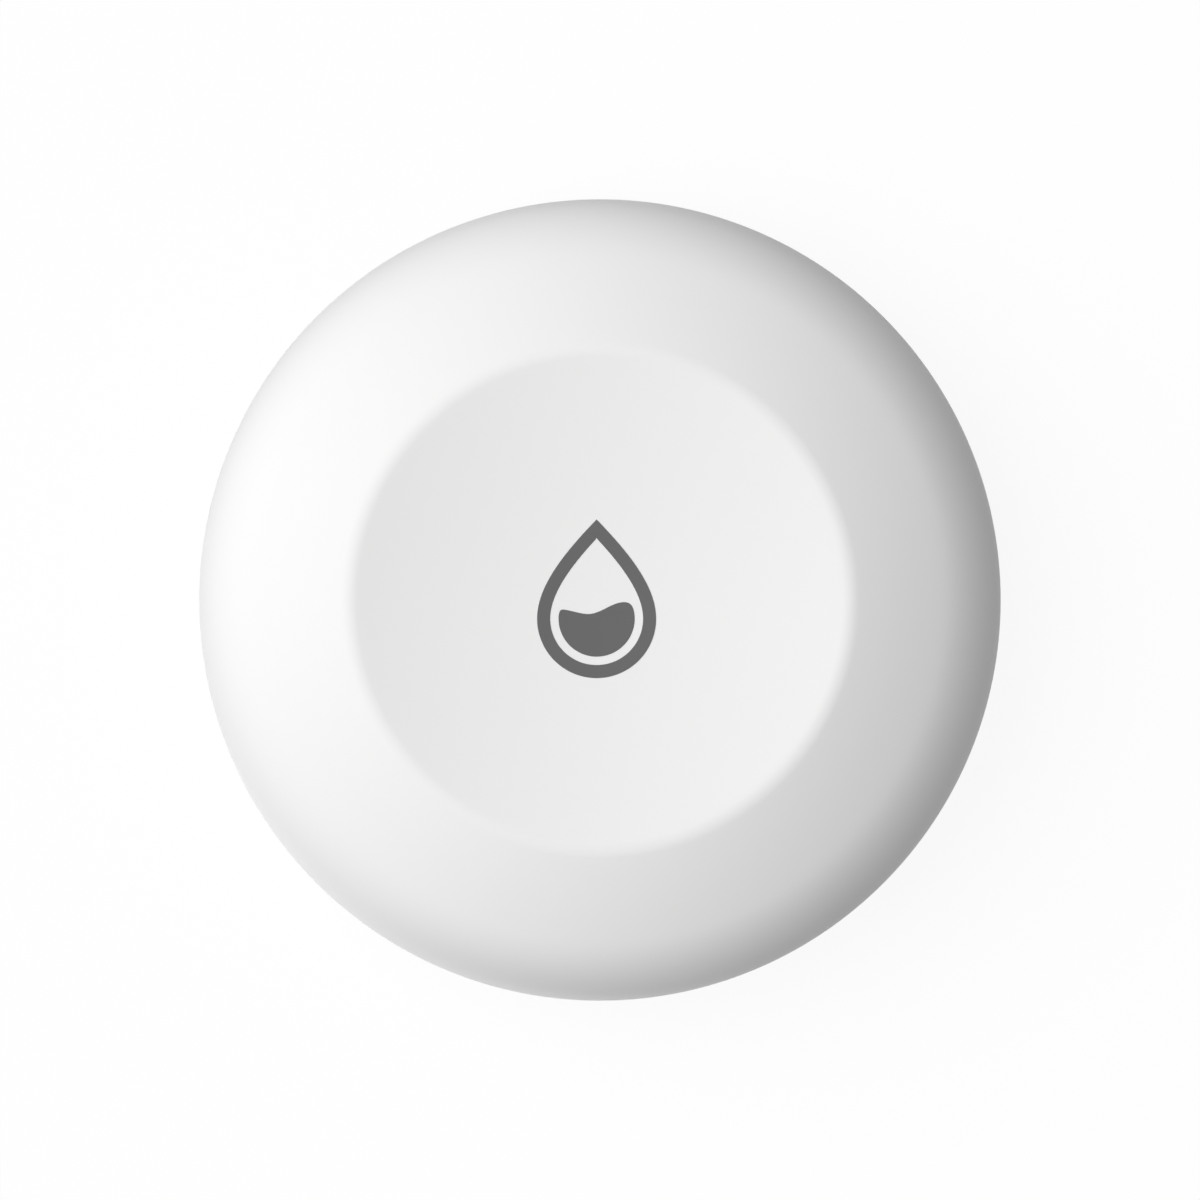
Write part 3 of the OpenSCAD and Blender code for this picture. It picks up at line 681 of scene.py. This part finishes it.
def makeBaseShell(b):
    h = housing
    under, floor = h["underside"], h["floor"]
    underX = h["radius"] - h["underRadius"]
    a0, a1 = (math.degrees(math.asin((z - seamZ) / h["underRadius"])) for z in (under, rimZ))
    outer = arcPoints(underX, seamZ, h["underRadius"], a0, a1, b["underSteps"])
    grooveOut, grooveIn = h["tongueOut"] + h["fitGap"], h["tongueIn"] - h["fitGap"]
    line = [(b["flatEdge"], under), (*outer[0], b["underEdge"])] + outer[1:-1] + [
        (*outer[-1], b["rimEdge"]), (grooveOut, rimZ, b["grooveEdge"]), (grooveOut, grooveZ),
        (grooveIn, grooveZ), (grooveIn, rimZ, b["grooveEdge"]),
        (h["rimIn"], rimZ, b["grooveEdge"]), (h["rimIn"], floor)]
    bm = bmesh.new()
    shell = lathe(bm, rounded(line), b["segments"])
    below, above = [shell[0]], [shell[-1]]
    features = {"foot": h["footAngles"], "probe": h["probeAngles"], "button": (h["buttonAngle"],)}
    for kind, angles in features.items():
        for angle in angles:
            loops = lathe(bm, rounded(b[kind]), b["featureSegments"], featureSpot(angle))
            above.append(loops[0])
            below.append(loops[-1])
    # well wall, tracks and entry notches
    well = lathe(bm, rounded([(b["wellOut"], floor), (b["wellOut"], b["wellTop"], b["wellEdge"]),
                              (b["bore"], b["wellTop"], b["wellEdge"]), (b["bore"], b["trackTop"])]),
                 b["wellSegments"])
    above.append(well[0])
    reach = b["lugHalf"]
    tracks = [(a - b["turn"] - reach, a + reach) for a in b["lugAngles"]]
    notches = [(a - b["turn"] - reach, a - b["turn"] + reach) for a in b["lugAngles"]]
    angles = sectorAngles(tracks + notches, b["trackStep"])
    low, high = steppedWall(
        bm, angles, [under + b["wellLip"], b["trackLow"], b["trackTop"]],
        lambda a, j: b["track"] if inSector(a, (notches, tracks)[j]) else b["lip"])
    fillFlat(bm, high, well[-1])
    below.append(roundLip(bm, low, under, b["wellLip"]))
    # marks for locked, a dot, and open, a ring
    for mark, angle in (("dot", b["lockedMark"]), ("hoop", b["openMark"])):
        below.append(lathe(bm, rounded(b[mark]), b["markSegments"], around(angle, b["markCircle"]))[-1])
    fillFlat(bm, *below)
    fillFlat(bm, *above)
    ribs = bmesh.new()
    for angle in b["ribAngles"]:
        addBox(ribs, (b["wellOut"] - b["ribSunk"], -b["ribHalf"], floor - b["ribSunk"]),
               (h["rimIn"] + b["ribSunk"], b["ribHalf"], b["ribTop"]), turn=angle)
    lathe(ribs, b["collar"], b["featureSegments"], featureSpot(h["buttonAngle"]), closed=True)
    whole = combined(bm, ribs)
    # the floors of the dot and the ring take the darker finish, painted shade in the recesses
    spots = [Vector((*around(b[k], b["markCircle"]), b["markFloor"])) for k in ("lockedMark", "openMark")]
    for face in whole.faces:
        middle = face.calc_center_median() / mm
        level = abs(middle.z - b["markFloor"]) < b["markSlack"]
        if level and min((middle - s).length for s in spots) < b["markReach"]:
            face.material_index = 1
    finishes = [baseFinish, shadedFloorFinish]
    return makePiece("baseShell", whole, finishes, "housing", ["base_shell"])


makeBaseShell(baseShell)


# battery cover: coin slot, pointer, locking lugs and the skirt with its ring groove
batteryCover = {
    "look": {"colour": (0.85, 0.85, 0.845), "drift": 0.012, "grain": 0.42, "cloud": 8.0,
             "depth": 0.01, "roughness": 0.6, "specular": 0.18},
    "face": 1.0, "top": 3.0, "radius": 13.7, "edge": 0.4, "edgeSteps": 5, "flatEdge": 13.0, "segments": 160,
    "lugLow": 2.0, "lugRadius": 14.7, "lugHalf": 11.0, "lugAngles": (0, 120, 240), "lugStep": 2.2,
    "crease": 0.05,
    "slotLength": 15.0, "slotWidth": 2.2, "slotDepth": 1.2, "slotLip": 0.28, "slotStep": 10,
    "pointer": 50.0, "pointerReach": (10.2, 12.3), "pointerHalf": 1.15, "pointerDepth": 0.5,
    "pointerLip": 0.12,
    "skirt": [(13.05, 3.0), (13.05, 3.575), (12.15, 3.575), (12.15, 4.775), (13.05, 4.775),
              (13.05, 5.2, 0.15), (11.3, 5.2, 0.15), (11.3, 3.0), (0, 3.0)],
}
coverFinish = mouldedPlastic("grainedCover", batteryCover["look"])


def makeBatteryCover(c):
    count = c["segments"]
    bm = bmesh.new()
    rim = lathe(bm, rounded([(c["flatEdge"], c["face"]), (c["radius"], c["face"], c["edge"]),
                             (c["radius"], c["lugLow"])], c["edgeSteps"]), count)
    lugs = [(a - c["lugHalf"], a + c["lugHalf"]) for a in c["lugAngles"]]
    low, high = steppedWall(bm, sectorAngles(lugs, c["lugStep"]), [c["lugLow"], c["top"]],
                            lambda a, j: c["lugRadius"] if inSector(a, lugs) else c["radius"])
    skirt = lathe(bm, rounded(c["skirt"]), count)
    fillFlat(bm, high, skirt[0])
    # the rim and the wall of the lugs meet in a fine crease
    crease = lathe(bm, [(c["radius"] - c["crease"], c["lugLow"])], count)[0]
    bridge(bm, rim[-1], crease)
    fillFlat(bm, low, crease)
    half, bend, step = (c["slotLength"] - c["slotWidth"]) / 2, c["slotWidth"] / 2, c["slotStep"]
    turns = [(half, a) for a in range(-90, 91, step)] + [(-half, a) for a in range(90, 271, step)]
    slot = [Vector((x + bend * cosDeg(a), bend * sinDeg(a))) for x, a in turns]
    near, far = (Vector(around(c["pointer"], reach)) for reach in c["pointerReach"])
    side = Vector((-sinDeg(c["pointer"]), cosDeg(c["pointer"]))) * c["pointerHalf"]
    arrow = [far, near + side, near - side]
    # the floors of the coin slot and the pointer take the darker finish, painted shade in the recesses
    fillFlat(bm, rim[0], pocket(bm, slot, c["face"], c["slotDepth"], c["slotLip"], 1),
             pocket(bm, arrow, c["face"], c["pointerDepth"], c["pointerLip"], 1))
    finishes = [coverFinish, shadedFloorFinish]
    return makePiece("batteryCover", bm, finishes, "cover", ["battery_cover"])


makeBatteryCover(batteryCover)


# three soft feet with grip grooves in the sole
rubberFeet = {
    "look": {"colour": (0.055, 0.055, 0.058), "grain": 0.16, "cloud": 1.6, "depth": 0.006, "roughness": 0.78,
             "specular": 0.35},
    "line": [(0, 0.0), (1.0, 0.0, 0.12), (1.1, 0.25), (1.3, 0.25), (1.4, 0.0, 0.12), (2.2, 0.0, 0.12),
             (2.3, 0.25), (2.5, 0.25), (2.6, 0.0, 0.12), (3.7, 0.0, 0.34), (3.7, 1.7), (0, 1.7)],
    "segments": 72,
}
rubberFinish = softRubber("footRubber", rubberFeet["look"])


def makeRubberFeet(f):
    bm = bmesh.new()
    for angle in housing["footAngles"]:
        lathe(bm, rounded(f["line"]), f["segments"], featureSpot(angle))
    return makePiece("rubberFeet", bm, [rubberFinish], "housing", ["rubber_feet"])


makeRubberFeet(rubberFeet)


# two water probes with domed, turned heads
probePins = {
    "look": {"colour": (0.55, 0.55, 0.56), "roughness": 0.24,
             "ringPitch": 0.16, "ringDepth": 0.006, "ringGloss": 0.04,
             "bandPitch": 0.35, "bandDetail": 3.0, "bandRough": 0.7, "paintedReflectionTone": 0.3, "bandGloss": 0.2,
             "cloud": 1.4, "cloudDetail": 3.0, "cloudGloss": 0.12},
    "head": 2.5, "low": 0.3, "seat": 1.3, "dome": 0.5, "edge": 0.15, "pin": 1.25, "top": 7.2,
    "headEdge": 0.12, "seatEdge": 0.08, "pinEdge": 0.2,
    "mark": 0.35, "markDepth": 0.2, "grooveAt": 1.75, "grooveHalf": 0.14, "grooveDepth": 0.14,
    "innerSteps": 6, "outerSteps": 3, "segments": 72,
}


# turned metal: fine rings about the axis of each probe, with bands of lighter and darker tone as painted
# reflection
def turnedSteel(name, look):
    made = newFinish(name)
    first, second = (made.axisDistance(*featureSpot(a)) for a in housing["probeAngles"])
    gap = first.least(second)
    rings = made.node("Math", {"operation": "SINE"}, {0: gap * (2 * math.pi / (look["ringPitch"] * mm))})
    bands = made.node("TexNoise", {"noise_dimensions": "1D"}, {
        "W": gap * (1 / mm), "Scale": 1 / look["bandPitch"], "Detail": look["bandDetail"],
        "Roughness": look["bandRough"]})
    cloud = made.noise(look["cloud"], look["cloudDetail"])
    # bands of lighter and darker tone about the axis: painted reflection
    colour = made.shaded(bands, look["colour"], 1 - look["paintedReflectionTone"], 1 + look["paintedReflectionTone"])
    gloss = (look["roughness"] + rings * look["ringGloss"] + (bands - 0.5) * look["bandGloss"]
             + (cloud - 0.5) * look["cloudGloss"])
    return made.surface(Base_Color=colour, Metallic=1.0, Roughness=gloss,
                        Normal=made.bump(rings, look["ringDepth"]))


steelFinish = turnedSteel("turnedSteel", probePins["look"])


def makeProbePins(p):
    curve = (p["head"] ** 2 + p["dome"] ** 2) / (2 * p["dome"])

    def onDome(r, sunk=0.0):
        return r, p["low"] + curve - math.sqrt(curve * curve - r * r) + sunk

    def domePart(start, end, steps):
        return [onDome(start + (end - start) * k / steps) for k in range(steps + 1)]

    # centre mark, then the dome with one turned groove
    cap = [(0.0, p["low"] + p["markDepth"])]
    cap += domePart(p["mark"], p["grooveAt"] - p["grooveHalf"], p["innerSteps"])
    cap += [onDome(p["grooveAt"], p["grooveDepth"])]
    cap += domePart(p["grooveAt"] + p["grooveHalf"], p["head"] - p["edge"], p["outerSteps"])
    line = cap + rounded([cap[-1], (p["head"], p["low"] + p["dome"], p["headEdge"]),
                          (p["head"], p["seat"], p["seatEdge"]), (p["pin"], p["seat"]),
                          (p["pin"], p["top"], p["pinEdge"]), (0, p["top"])])[1:]
    bm = bmesh.new()
    for angle in housing["probeAngles"]:
        lathe(bm, line, p["segments"], featureSpot(angle))
    return makePiece("probePins", bm, [steelFinish], "housing", ["probe_pins"])


makeProbePins(probePins)


# reset button with a finger dish, its flange and stem
resetButton = {
    "look": {"colour": (0.38, 0.39, 0.4), "grain": 0.2, "cloud": 1.8, "depth": 0.004, "roughness": 0.62,
             "specular": 0.35},
    "face": 1.2, "dishEdge": 2.45, "dishDepth": 0.5, "dishSteps": 8,
    "line": [(2.45, 1.2, 0.4), (3.0, 1.2, 0.25), (3.0, 2.9), (3.9, 2.9, 0.15), (3.9, 3.5, 0.15), (1.5, 3.5),
             (1.5, 4.5, 0.2), (0, 4.5)],
    "segments": 72,
}
buttonFinish = softRubber("buttonSilicone", resetButton["look"])


def makeResetButton(b):
    edge, depth, steps = b["dishEdge"], b["dishDepth"], b["dishSteps"]
    curve = (edge ** 2 + depth ** 2) / (2 * depth)
    dish = [(r, b["face"] + depth - curve + math.sqrt(curve ** 2 - r * r))
            for r in (edge * k / steps for k in range(steps))]
    bm = bmesh.new()
    lathe(bm, rounded(dish + b["line"]), b["segments"], featureSpot(housing["buttonAngle"]))
    return makePiece("resetButton", bm, [buttonFinish], "button", ["reset_button"])


makeResetButton(resetButton)


# metal and black moulding shared by the inner pieces
sharedLooks = {
    "tin": {"colour": (0.68, 0.68, 0.69), "line": 0.12, "stretch": (8, 1, 1), "cloud": 2.0, "depth": 0.001,
            "roughness": 0.3},
    "black": {"colour": (0.03, 0.03, 0.033), "drift": 0.1, "grain": 0.08, "cloud": 1.2, "depth": 0.003,
              "roughness": 0.55, "specular": 0.4},
}
tinFinish = drawnMetal("tinnedSheet", sharedLooks["tin"])
blackFinish = mouldedPlastic("blackMoulding", sharedLooks["black"])


# case screws: cross recess in a soft-edged head, coarse thread for plastic
caseScrews = {
    "look": {"colour": (0.55, 0.55, 0.56), "line": 0.25, "stretch": (1, 1, 4), "cloud": 0.9, "depth": 0.004,
             "roughness": 0.34},
    "head": 1.9, "headLow": 1.8, "headEdge": 0.3, "bearing": 3.2, "bearingEdge": 0.06,
    "core": 0.78, "crest": 1.0, "pitch": 0.8, "ridge": 0.3, "threadTurns": 11.5, "top": 13.2, "tip": 0.5,
    "crossLong": 1.1, "crossWide": 0.3, "crossDepth": 0.8, "crossLip": 0.06,
    "rowsPerTurn": 10, "segments": 40,
}


def makeCaseScrews(s):
    long, wide, count = s["crossLong"], s["crossWide"], s["segments"]
    arm = [(long, -wide), (long, wide), (wide, wide)]
    cross = [Vector((x * cosDeg(a) - y * sinDeg(a), x * sinDeg(a) + y * cosDeg(a)))
             for a in (0, 90, 180, 270) for x, y in arm]
    headLine = rounded([(s["head"] - 2 * s["headEdge"], s["headLow"]),
                        (s["head"], s["headLow"], s["headEdge"]),
                        (s["head"], s["bearing"], s["bearingEdge"]), (s["core"], s["bearing"])])
    rows = round(s["threadTurns"] * s["rowsPerTurn"])
    bm = bmesh.new()
    for angle in housing["footAngles"]:
        centre = Vector(featureSpot(angle))
        head = lathe(bm, headLine, count, centre)
        recess = [centre + p for p in cross]
        fillFlat(bm, head[0], pocket(bm, recess, s["headLow"], s["crossDepth"], s["crossLip"]))
        last = head[-1]
        for row in range(1, rows + 1):  # the ridge climbs one pitch a turn and runs out at both ends
            turns = row / s["rowsPerTurn"]
            fade = min(1.0, turns, s["threadTurns"] - turns)
            ring = []
            for k in range(count):
                ridge = max(0.0, 1 - abs((turns - k / count) % 1 - 0.5) / s["ridge"]) * fade
                x, y = around(360 * k / count, s["core"] + (s["crest"] - s["core"]) * ridge)
                ring.append(addVert(bm, centre.x + x, centre.y + y, s["bearing"] + turns * s["pitch"]))
            bridge(bm, last, ring)
            last = ring
        end = lathe(bm, [(s["tip"], s["top"]), (0, s["top"])], count, centre)
        bridge(bm, last, end[0])
    finish = drawnMetal("platedScrew", s["look"])
    return makePiece("caseScrews", bm, [finish], "housing", ["case_screws"])


makeCaseScrews(caseScrews)


# coin cell: drawn can with its edge rolled over the cap, a dark gasket between them
coinCell = {
    "look": {"colour": (0.7, 0.7, 0.69), "line": 0.3, "stretch": (1, 6, 1), "cloud": 4.0, "depth": 0.002,
             "roughness": 0.26},
    "gasketLook": {"colour": (0.04, 0.04, 0.042), "grain": 0.1, "cloud": 1.5, "depth": 0.002,
                   "roughness": 0.6, "specular": 0.4},
    "radius": 10.0, "low": 3.1, "crimp": 5.9, "top": 6.3, "cap": 8.8, "gasket": 0.16, "gasketDepth": 0.14,
    "foot": 0.6, "roll": 0.9, "crimpEdge": 0.04, "capEdge": 0.2, "segments": 144,
}


def makeCoinCell(c):
    edge, sunk = c["cap"] + c["gasket"], c["crimp"] - c["gasketDepth"]
    bm = bmesh.new()
    lathe(bm, rounded([(0, c["low"]), (c["radius"], c["low"], c["foot"]),
                       (c["radius"], c["crimp"], c["roll"]), (edge, c["crimp"], c["crimpEdge"]),
                       (edge, sunk), (c["cap"], sunk),
                       (c["cap"], c["top"], c["capEdge"]), (0, c["top"])]), c["segments"])
    for face in bm.faces:
        spot = face.calc_center_median() / mm
        between = c["cap"] < math.hypot(spot.x, spot.y) < edge
        face.material_index = int(between and c["low"] + c["gasketDepth"] < spot.z < c["crimp"])
    finishes = [drawnMetal("cellCan", c["look"]), softRubber("cellGasket", c["gasketLook"])]
    return makePiece("coinCell", bm, finishes, "housing", ["coin_cell"])


makeCoinCell(coinCell)


# detector chip: moulded body with a dot at its first leg, two rows of bent legs
detectorChip = {
    "at": (-11.0, -7.0), "half": (1.95, 2.45), "low": 9.0, "top": 10.3, "edge": 0.12,
    "dot": (-1.35, 1.85), "dotRadius": 0.3, "dotDepth": 0.1, "dotOver": 1.0, "dotSegments": 24,
    "pitch": 1.27, "legs": (-1.5, -0.5, 0.5, 1.5), "legHalf": 0.2,
    "leg": [(1.85, 9.6), (2.25, 9.6), (2.5, 9.1), (3.05, 9.1), (3.05, 8.9), (2.35, 8.9), (2.1, 9.4),
            (1.85, 9.4)],
}


def makeDetectorChip(c):
    x, y = c["at"]
    wide, long = c["half"]
    body, dot = bmesh.new(), bmesh.new()
    addBox(body, (x - wide, y - long, c["low"]), (x + wide, y + long, c["top"]), c["edge"])
    dotLow, dotHigh = c["top"] - c["dotDepth"], c["top"] + c["dotOver"]
    ends = [(0, dotLow), (c["dotRadius"], dotLow), (c["dotRadius"], dotHigh), (0, dotHigh)]
    lathe(dot, ends, c["dotSegments"], (x + c["dot"][0], y + c["dot"][1]))
    bm = combined(body, dot, "DIFFERENCE")
    for turn in (0, 180):
        for place in c["legs"]:
            addPrism(bm, c["leg"], c["legHalf"], turn, c["at"], place * c["pitch"], 1)
    finishes = [blackFinish, tinFinish]
    return makePiece("detectorChip", bm, finishes, "housing", ["detector_chip"])


makeDetectorChip(detectorChip)


# bulk capacitor: moulded block with a band at one end and folded terminals
bulkCapacitor = {
    "look": {"colour": (0.62, 0.38, 0.06), "drift": 0.05, "grain": 0.1, "cloud": 1.5, "depth": 0.003,
             "roughness": 0.42, "specular": 0.45},
    "bandLook": {"colour": (0.3, 0.12, 0.03), "drift": 0.05, "grain": 0.1, "cloud": 1.0, "depth": 0.002,
                 "roughness": 0.5, "specular": 0.4},
    "at": (11.0, -7.0), "half": (2.15, 3.65), "low": 9.0, "top": 11.7, "edge": 0.25,
    "band": (2.4, 3.1), "bandRise": 0.02,
    "terminalHalf": 1.075, "terminal": 0.4, "terminalTop": 10.3, "terminalEdge": 0.08,
}


def makeBulkCapacitor(c):
    x, y = c["at"]
    wide, long = c["half"]
    level = c["top"] - c["bandRise"]
    bm = bmesh.new()
    addBox(bm, (x - wide, y - long, c["low"]), (x + wide, y + long, level), c["edge"])
    addBox(bm, (x - wide + c["edge"], y + c["band"][0], level - c["bandRise"]),
           (x + wide - c["edge"], y + c["band"][1], c["top"]), finish=2)
    for side in (-1, 1):
        reach = sorted((y + side * (long - c["terminal"]), y + side * (long + c["terminal"])))
        addBox(bm, (x - c["terminalHalf"], reach[0], housing["boardTop"]),
               (x + c["terminalHalf"], reach[1], c["terminalTop"]), c["terminalEdge"], 1)
    finishes = [mouldedPlastic("capacitorBlock", c["look"]), tinFinish,
                mouldedPlastic("capacitorBand", c["bandLook"])]
    return makePiece("bulkCapacitor", bm, finishes, "housing", ["bulk_capacitor"])


makeBulkCapacitor(bulkCapacitor)


# small chips with tinned ends, and the status light, which has a clear dome as well
chipLooks = {
    "ceramic": {"colour": (0.42, 0.28, 0.15), "drift": 0.08, "grain": 0.06, "cloud": 0.6, "depth": 0.002,
                "roughness": 0.6, "specular": 0.4},
    "reflector": {"colour": (0.8, 0.8, 0.78), "drift": 0.03, "grain": 0.08, "cloud": 0.8, "depth": 0.001,
                  "roughness": 0.4, "specular": 0.4},
    "dome": {"colour": (0.82, 0.79, 0.6), "drift": 0.04, "grain": 0.1, "cloud": 0.8, "depth": 0.0005,
             "roughness": 0.12, "specular": 0.5},
}
chipBuild = {"end": 0.3, "inset": 0.03, "edge": 0.05, "domeSteps": 10, "domeSegments": 48}
smallChips = {
    "chipCapacitors": {"half": (0.8, 0.4), "height": 0.8, "slot": "ceramic_tan", "node": "chip_capacitors",
                       "at": [(-12, 4), (-12, 7), (12, 4), (12, 7), (-4, -4), (4, -4)],
                       "finishes": [mouldedPlastic("ceramicChip", chipLooks["ceramic"]), tinFinish]},
    "chipResistors": {"half": (0.4, 0.8), "height": 0.45, "slot": "chip_black", "node": "chip_resistors",
                      "at": [(-4, -7), (-1.5, -7), (1.5, -7), (4, -7), (-6, -13), (6, -13)],
                      "finishes": [blackFinish, tinFinish]},
    "statusLight": {"half": (1.6, 0.8), "height": 0.7, "slot": "light_clear", "node": "status_light",
                    "at": [(0, -13)], "dome": 0.7,
                    "finishes": [mouldedPlastic("lightBase", chipLooks["reflector"]), tinFinish,
                                 mouldedPlastic("lightDome", chipLooks["dome"])]},
}


def makeSmallChips(name, c, build):
    bm = bmesh.new()
    low, high = housing["boardTop"], housing["boardTop"] + c["height"]
    wide, deep = c["half"]
    inset, edge = build["inset"], build["edge"]
    along = 0 if wide > deep else 1
    for x, y in c["at"]:
        addBox(bm, (x - wide + inset, y - deep + inset, low + inset),
               (x + wide - inset, y + deep - inset, high - inset), edge)
        for side in (-1, 1):
            corners = [[x - wide, y - deep, low], [x + wide, y + deep, high]]
            corners[(1 - side) // 2][along] = (x, y)[along] + side * (c["half"][along] - build["end"])
            addBox(bm, *corners, edge, 1)
        if "dome" in c:
            before = set(bm.faces)
            domeLow = low + inset * 2
            bow = arcPoints(0, high, c["dome"], 0, 90, build["domeSteps"])[:-1]
            line = [(0, domeLow), (c["dome"], domeLow)] + bow + [(0, high + c["dome"])]
            lathe(bm, line, build["domeSegments"], (x, y))
            for face in set(bm.faces) - before:
                face.material_index = 2
    return makePiece(name, bm, c["finishes"], "housing", [c["node"]])


for name, chips in smallChips.items():
    makeSmallChips(name, chips, chipBuild)


# finishes of the pieces that come from the CAD model as they are
plainFinishes = {
    "gasketSilicone": (softRubber, ["rim_gasket"], {
        "colour": (0.4, 0.41, 0.42), "grain": 0.2, "cloud": 3.0, "depth": 0.004, "roughness": 0.7,
        "specular": 0.35}),
    "sealRubber": (softRubber, ["cover_seal", "probe_seals"], {
        "colour": (0.03, 0.03, 0.03), "grain": 0.12, "cloud": 1.5, "depth": 0.003, "roughness": 0.6,
        "specular": 0.4}),
    "holderMoulding": (mouldedPlastic, ["cell_holder"], {
        "colour": (0.035, 0.035, 0.038), "drift": 0.08, "grain": 0.2, "cloud": 3.0, "depth": 0.004,
        "roughness": 0.5, "specular": 0.4}),
    "contactSpring": (drawnMetal, ["negative_contact", "positive_contacts"], {
        "colour": (0.74, 0.72, 0.66), "line": 0.1, "stretch": (1, 8, 1), "cloud": 1.5, "depth": 0.001,
        "roughness": 0.28}),
    "mainBoard": (solderMask, ["circuit_board"], {
        "colour": (0.02, 0.16, 0.06), "track": (0.04, 0.24, 0.1), "pitch": 0.9, "cloud": 6.0,
        "roughness": 0.36, "pads": 2.4, "plating": (0.83, 0.66, 0.33)}),
    "moduleBoard": (solderMask, ["radio_module"], {
        "colour": (0.015, 0.07, 0.14), "track": (0.03, 0.12, 0.22), "pitch": 0.5, "cloud": 3.0,
        "roughness": 0.36}),
    "plungerMoulding": (mouldedPlastic, ["switch_plunger"], {
        "colour": (0.78, 0.78, 0.77), "drift": 0.02, "grain": 0.12, "cloud": 1.2, "depth": 0.002,
        "roughness": 0.45, "specular": 0.4}),
    "turnedBrass": (drawnMetal, ["probe_standoffs"], {
        "colour": (0.8, 0.6, 0.28), "line": 0.1, "stretch": (1, 1, 7), "cloud": 1.2, "depth": 0.002,
        "roughness": 0.25}),
}


def dressNodes(finish, nodes):
    for node in nodes:
        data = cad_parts[node].data
        data.materials.clear()
        data.materials.append(finish)


for name, (make, nodes, look) in plainFinishes.items():
    dressNodes(make(name, look), nodes)
dressNodes(tinFinish, ["radio_shield", "switch_cover"])
dressNodes(blackFinish, ["radio_chip", "switch_body"])
print("finished the inner pieces")


# pale floor: white, with a little plain diffuse that keeps the shadow
# close under the object it is all matt, and painted darker there as a contact shadow
floorLook = {"size": 4.0, "colour": (0.97, 0.97, 0.97), "diffuseShare": 0.1,
             "nearPaintedShade": 0.6, "nearRadius": (26.5, 31.5)}


def makeFloor(f):
    half = f["size"] / 2
    corners = [(-half, -half, 0), (half, -half, 0), (half, half, 0), (-half, half, 0)]
    mesh = bpy.data.meshes.new("floor")
    mesh.from_pydata(corners, [], [(0, 1, 2, 3)])
    made = newFinish("paleFloor")
    glow = made.node("Emission", {}, {"Color": (1, 1, 1, 1), "Strength": 1.0})
    nearEnd, farStart = f["nearRadius"]
    near = made.node("MapRange", {"interpolation_type": "SMOOTHSTEP"}, {
        "Value": made.axisDistance(0, 0), "From Min": nearEnd * mm, "From Max": farStart * mm,
        "To Min": 1.0, "To Max": 0.0})
    # painted contact shadow: the floor's colour darkens close under the object
    colour = made.shaded(near, f["colour"], 1.0, f["nearPaintedShade"])
    matt = made.node("BsdfDiffuse", {}, {"Color": colour})
    share = f["diffuseShare"] + near * (1 - f["diffuseShare"])
    lit = made.node("MixShader", {}, {0: share, 1: glow, 2: matt})
    clear = made.node("BsdfTransparent")
    back = made.node("NewGeometry", out="Backfacing")
    shown = made.node("MixShader", {}, {0: back, 1: lit, 2: clear})  # clear where seen from below
    made.node("OutputMaterial", {}, {"Surface": shown})
    mesh.materials.append(made.owner)
    floor = bpy.data.objects.new("floor", mesh)
    scene.collection.objects.link(floor)
    floor.visible_diffuse = False
    floor.visible_shadow = False  # the lower lamp shines through it


makeFloor(floorLook)


# soft studio light: even surround, one broad key from the upper left, a weak lamp from below
lighting = {
    "surround": 0.295, "lift": 0.078, "aim": 9.0,
    "key": {"from": (-0.434, 0.114, 0.54), "distance": 2.4, "size": 3.0, "power": 61.5},
    "below": {"from": (-0.28, -0.44, -0.85), "distance": 0.5, "size": 0.36, "power": 0.9},
}


# white where it is seen, directly or in gloss; softer as light, and brighter from above
def setSurround(l):
    scene.world = bpy.data.worlds.new("surround")
    made = Finish(scene.world)
    direct, glossy, through = (made.node("LightPath", out=f"Is {kind} Ray")
                               for kind in ("Camera", "Glossy", "Transmission"))
    seen = direct.most(glossy).most(through)
    heading = made.node("SeparateXYZ", {}, {0: made.node("TexCoord", out="Generated")}, out="Z")
    soft = l["surround"] + heading * l["lift"]
    level = soft + seen * (1 - soft)
    sky = made.node("Background", {}, {"Color": (1, 1, 1, 1), "Strength": level})
    made.node("OutputWorld", {}, {"Surface": sky})


def addLamp(name, spec, target):
    lamp = bpy.data.lights.new(name, "AREA")
    lamp.shape, lamp.size, lamp.energy = "DISK", spec["size"], spec["power"]
    holder = bpy.data.objects.new(name, lamp)
    scene.collection.objects.link(holder)
    holder.location = target + Vector(spec["from"]).normalized() * spec["distance"]
    holder.rotation_mode = "QUATERNION"
    holder.rotation_quaternion = (target - holder.location).to_track_quat("-Z", "Y")


setSurround(lighting)
for name in ("key", "below"):
    addLamp(name, lighting[name], Vector((0, 0, lighting["aim"] * mm)))
print("lamps set")


# camera straight above, the tip of the drop towards the top of the frame
cameraView = {"lens": 300.0, "sensor": 36.0, "field": 92.8, "level": 7.5, "clip": (0.01, 20)}


def setCamera(c):
    lens = bpy.data.cameras.new("camera")
    lens.lens, lens.sensor_width = c["lens"], c["sensor"]
    lens.clip_start, lens.clip_end = c["clip"]
    camera = bpy.data.objects.new("camera", lens)
    scene.collection.objects.link(camera)
    distance = c["field"] * c["lens"] / c["sensor"]
    camera.location = (0, 0, (c["level"] + distance) * mm)
    scene.camera = camera
    print("camera at", round(distance), "mm")


setCamera(cameraView)
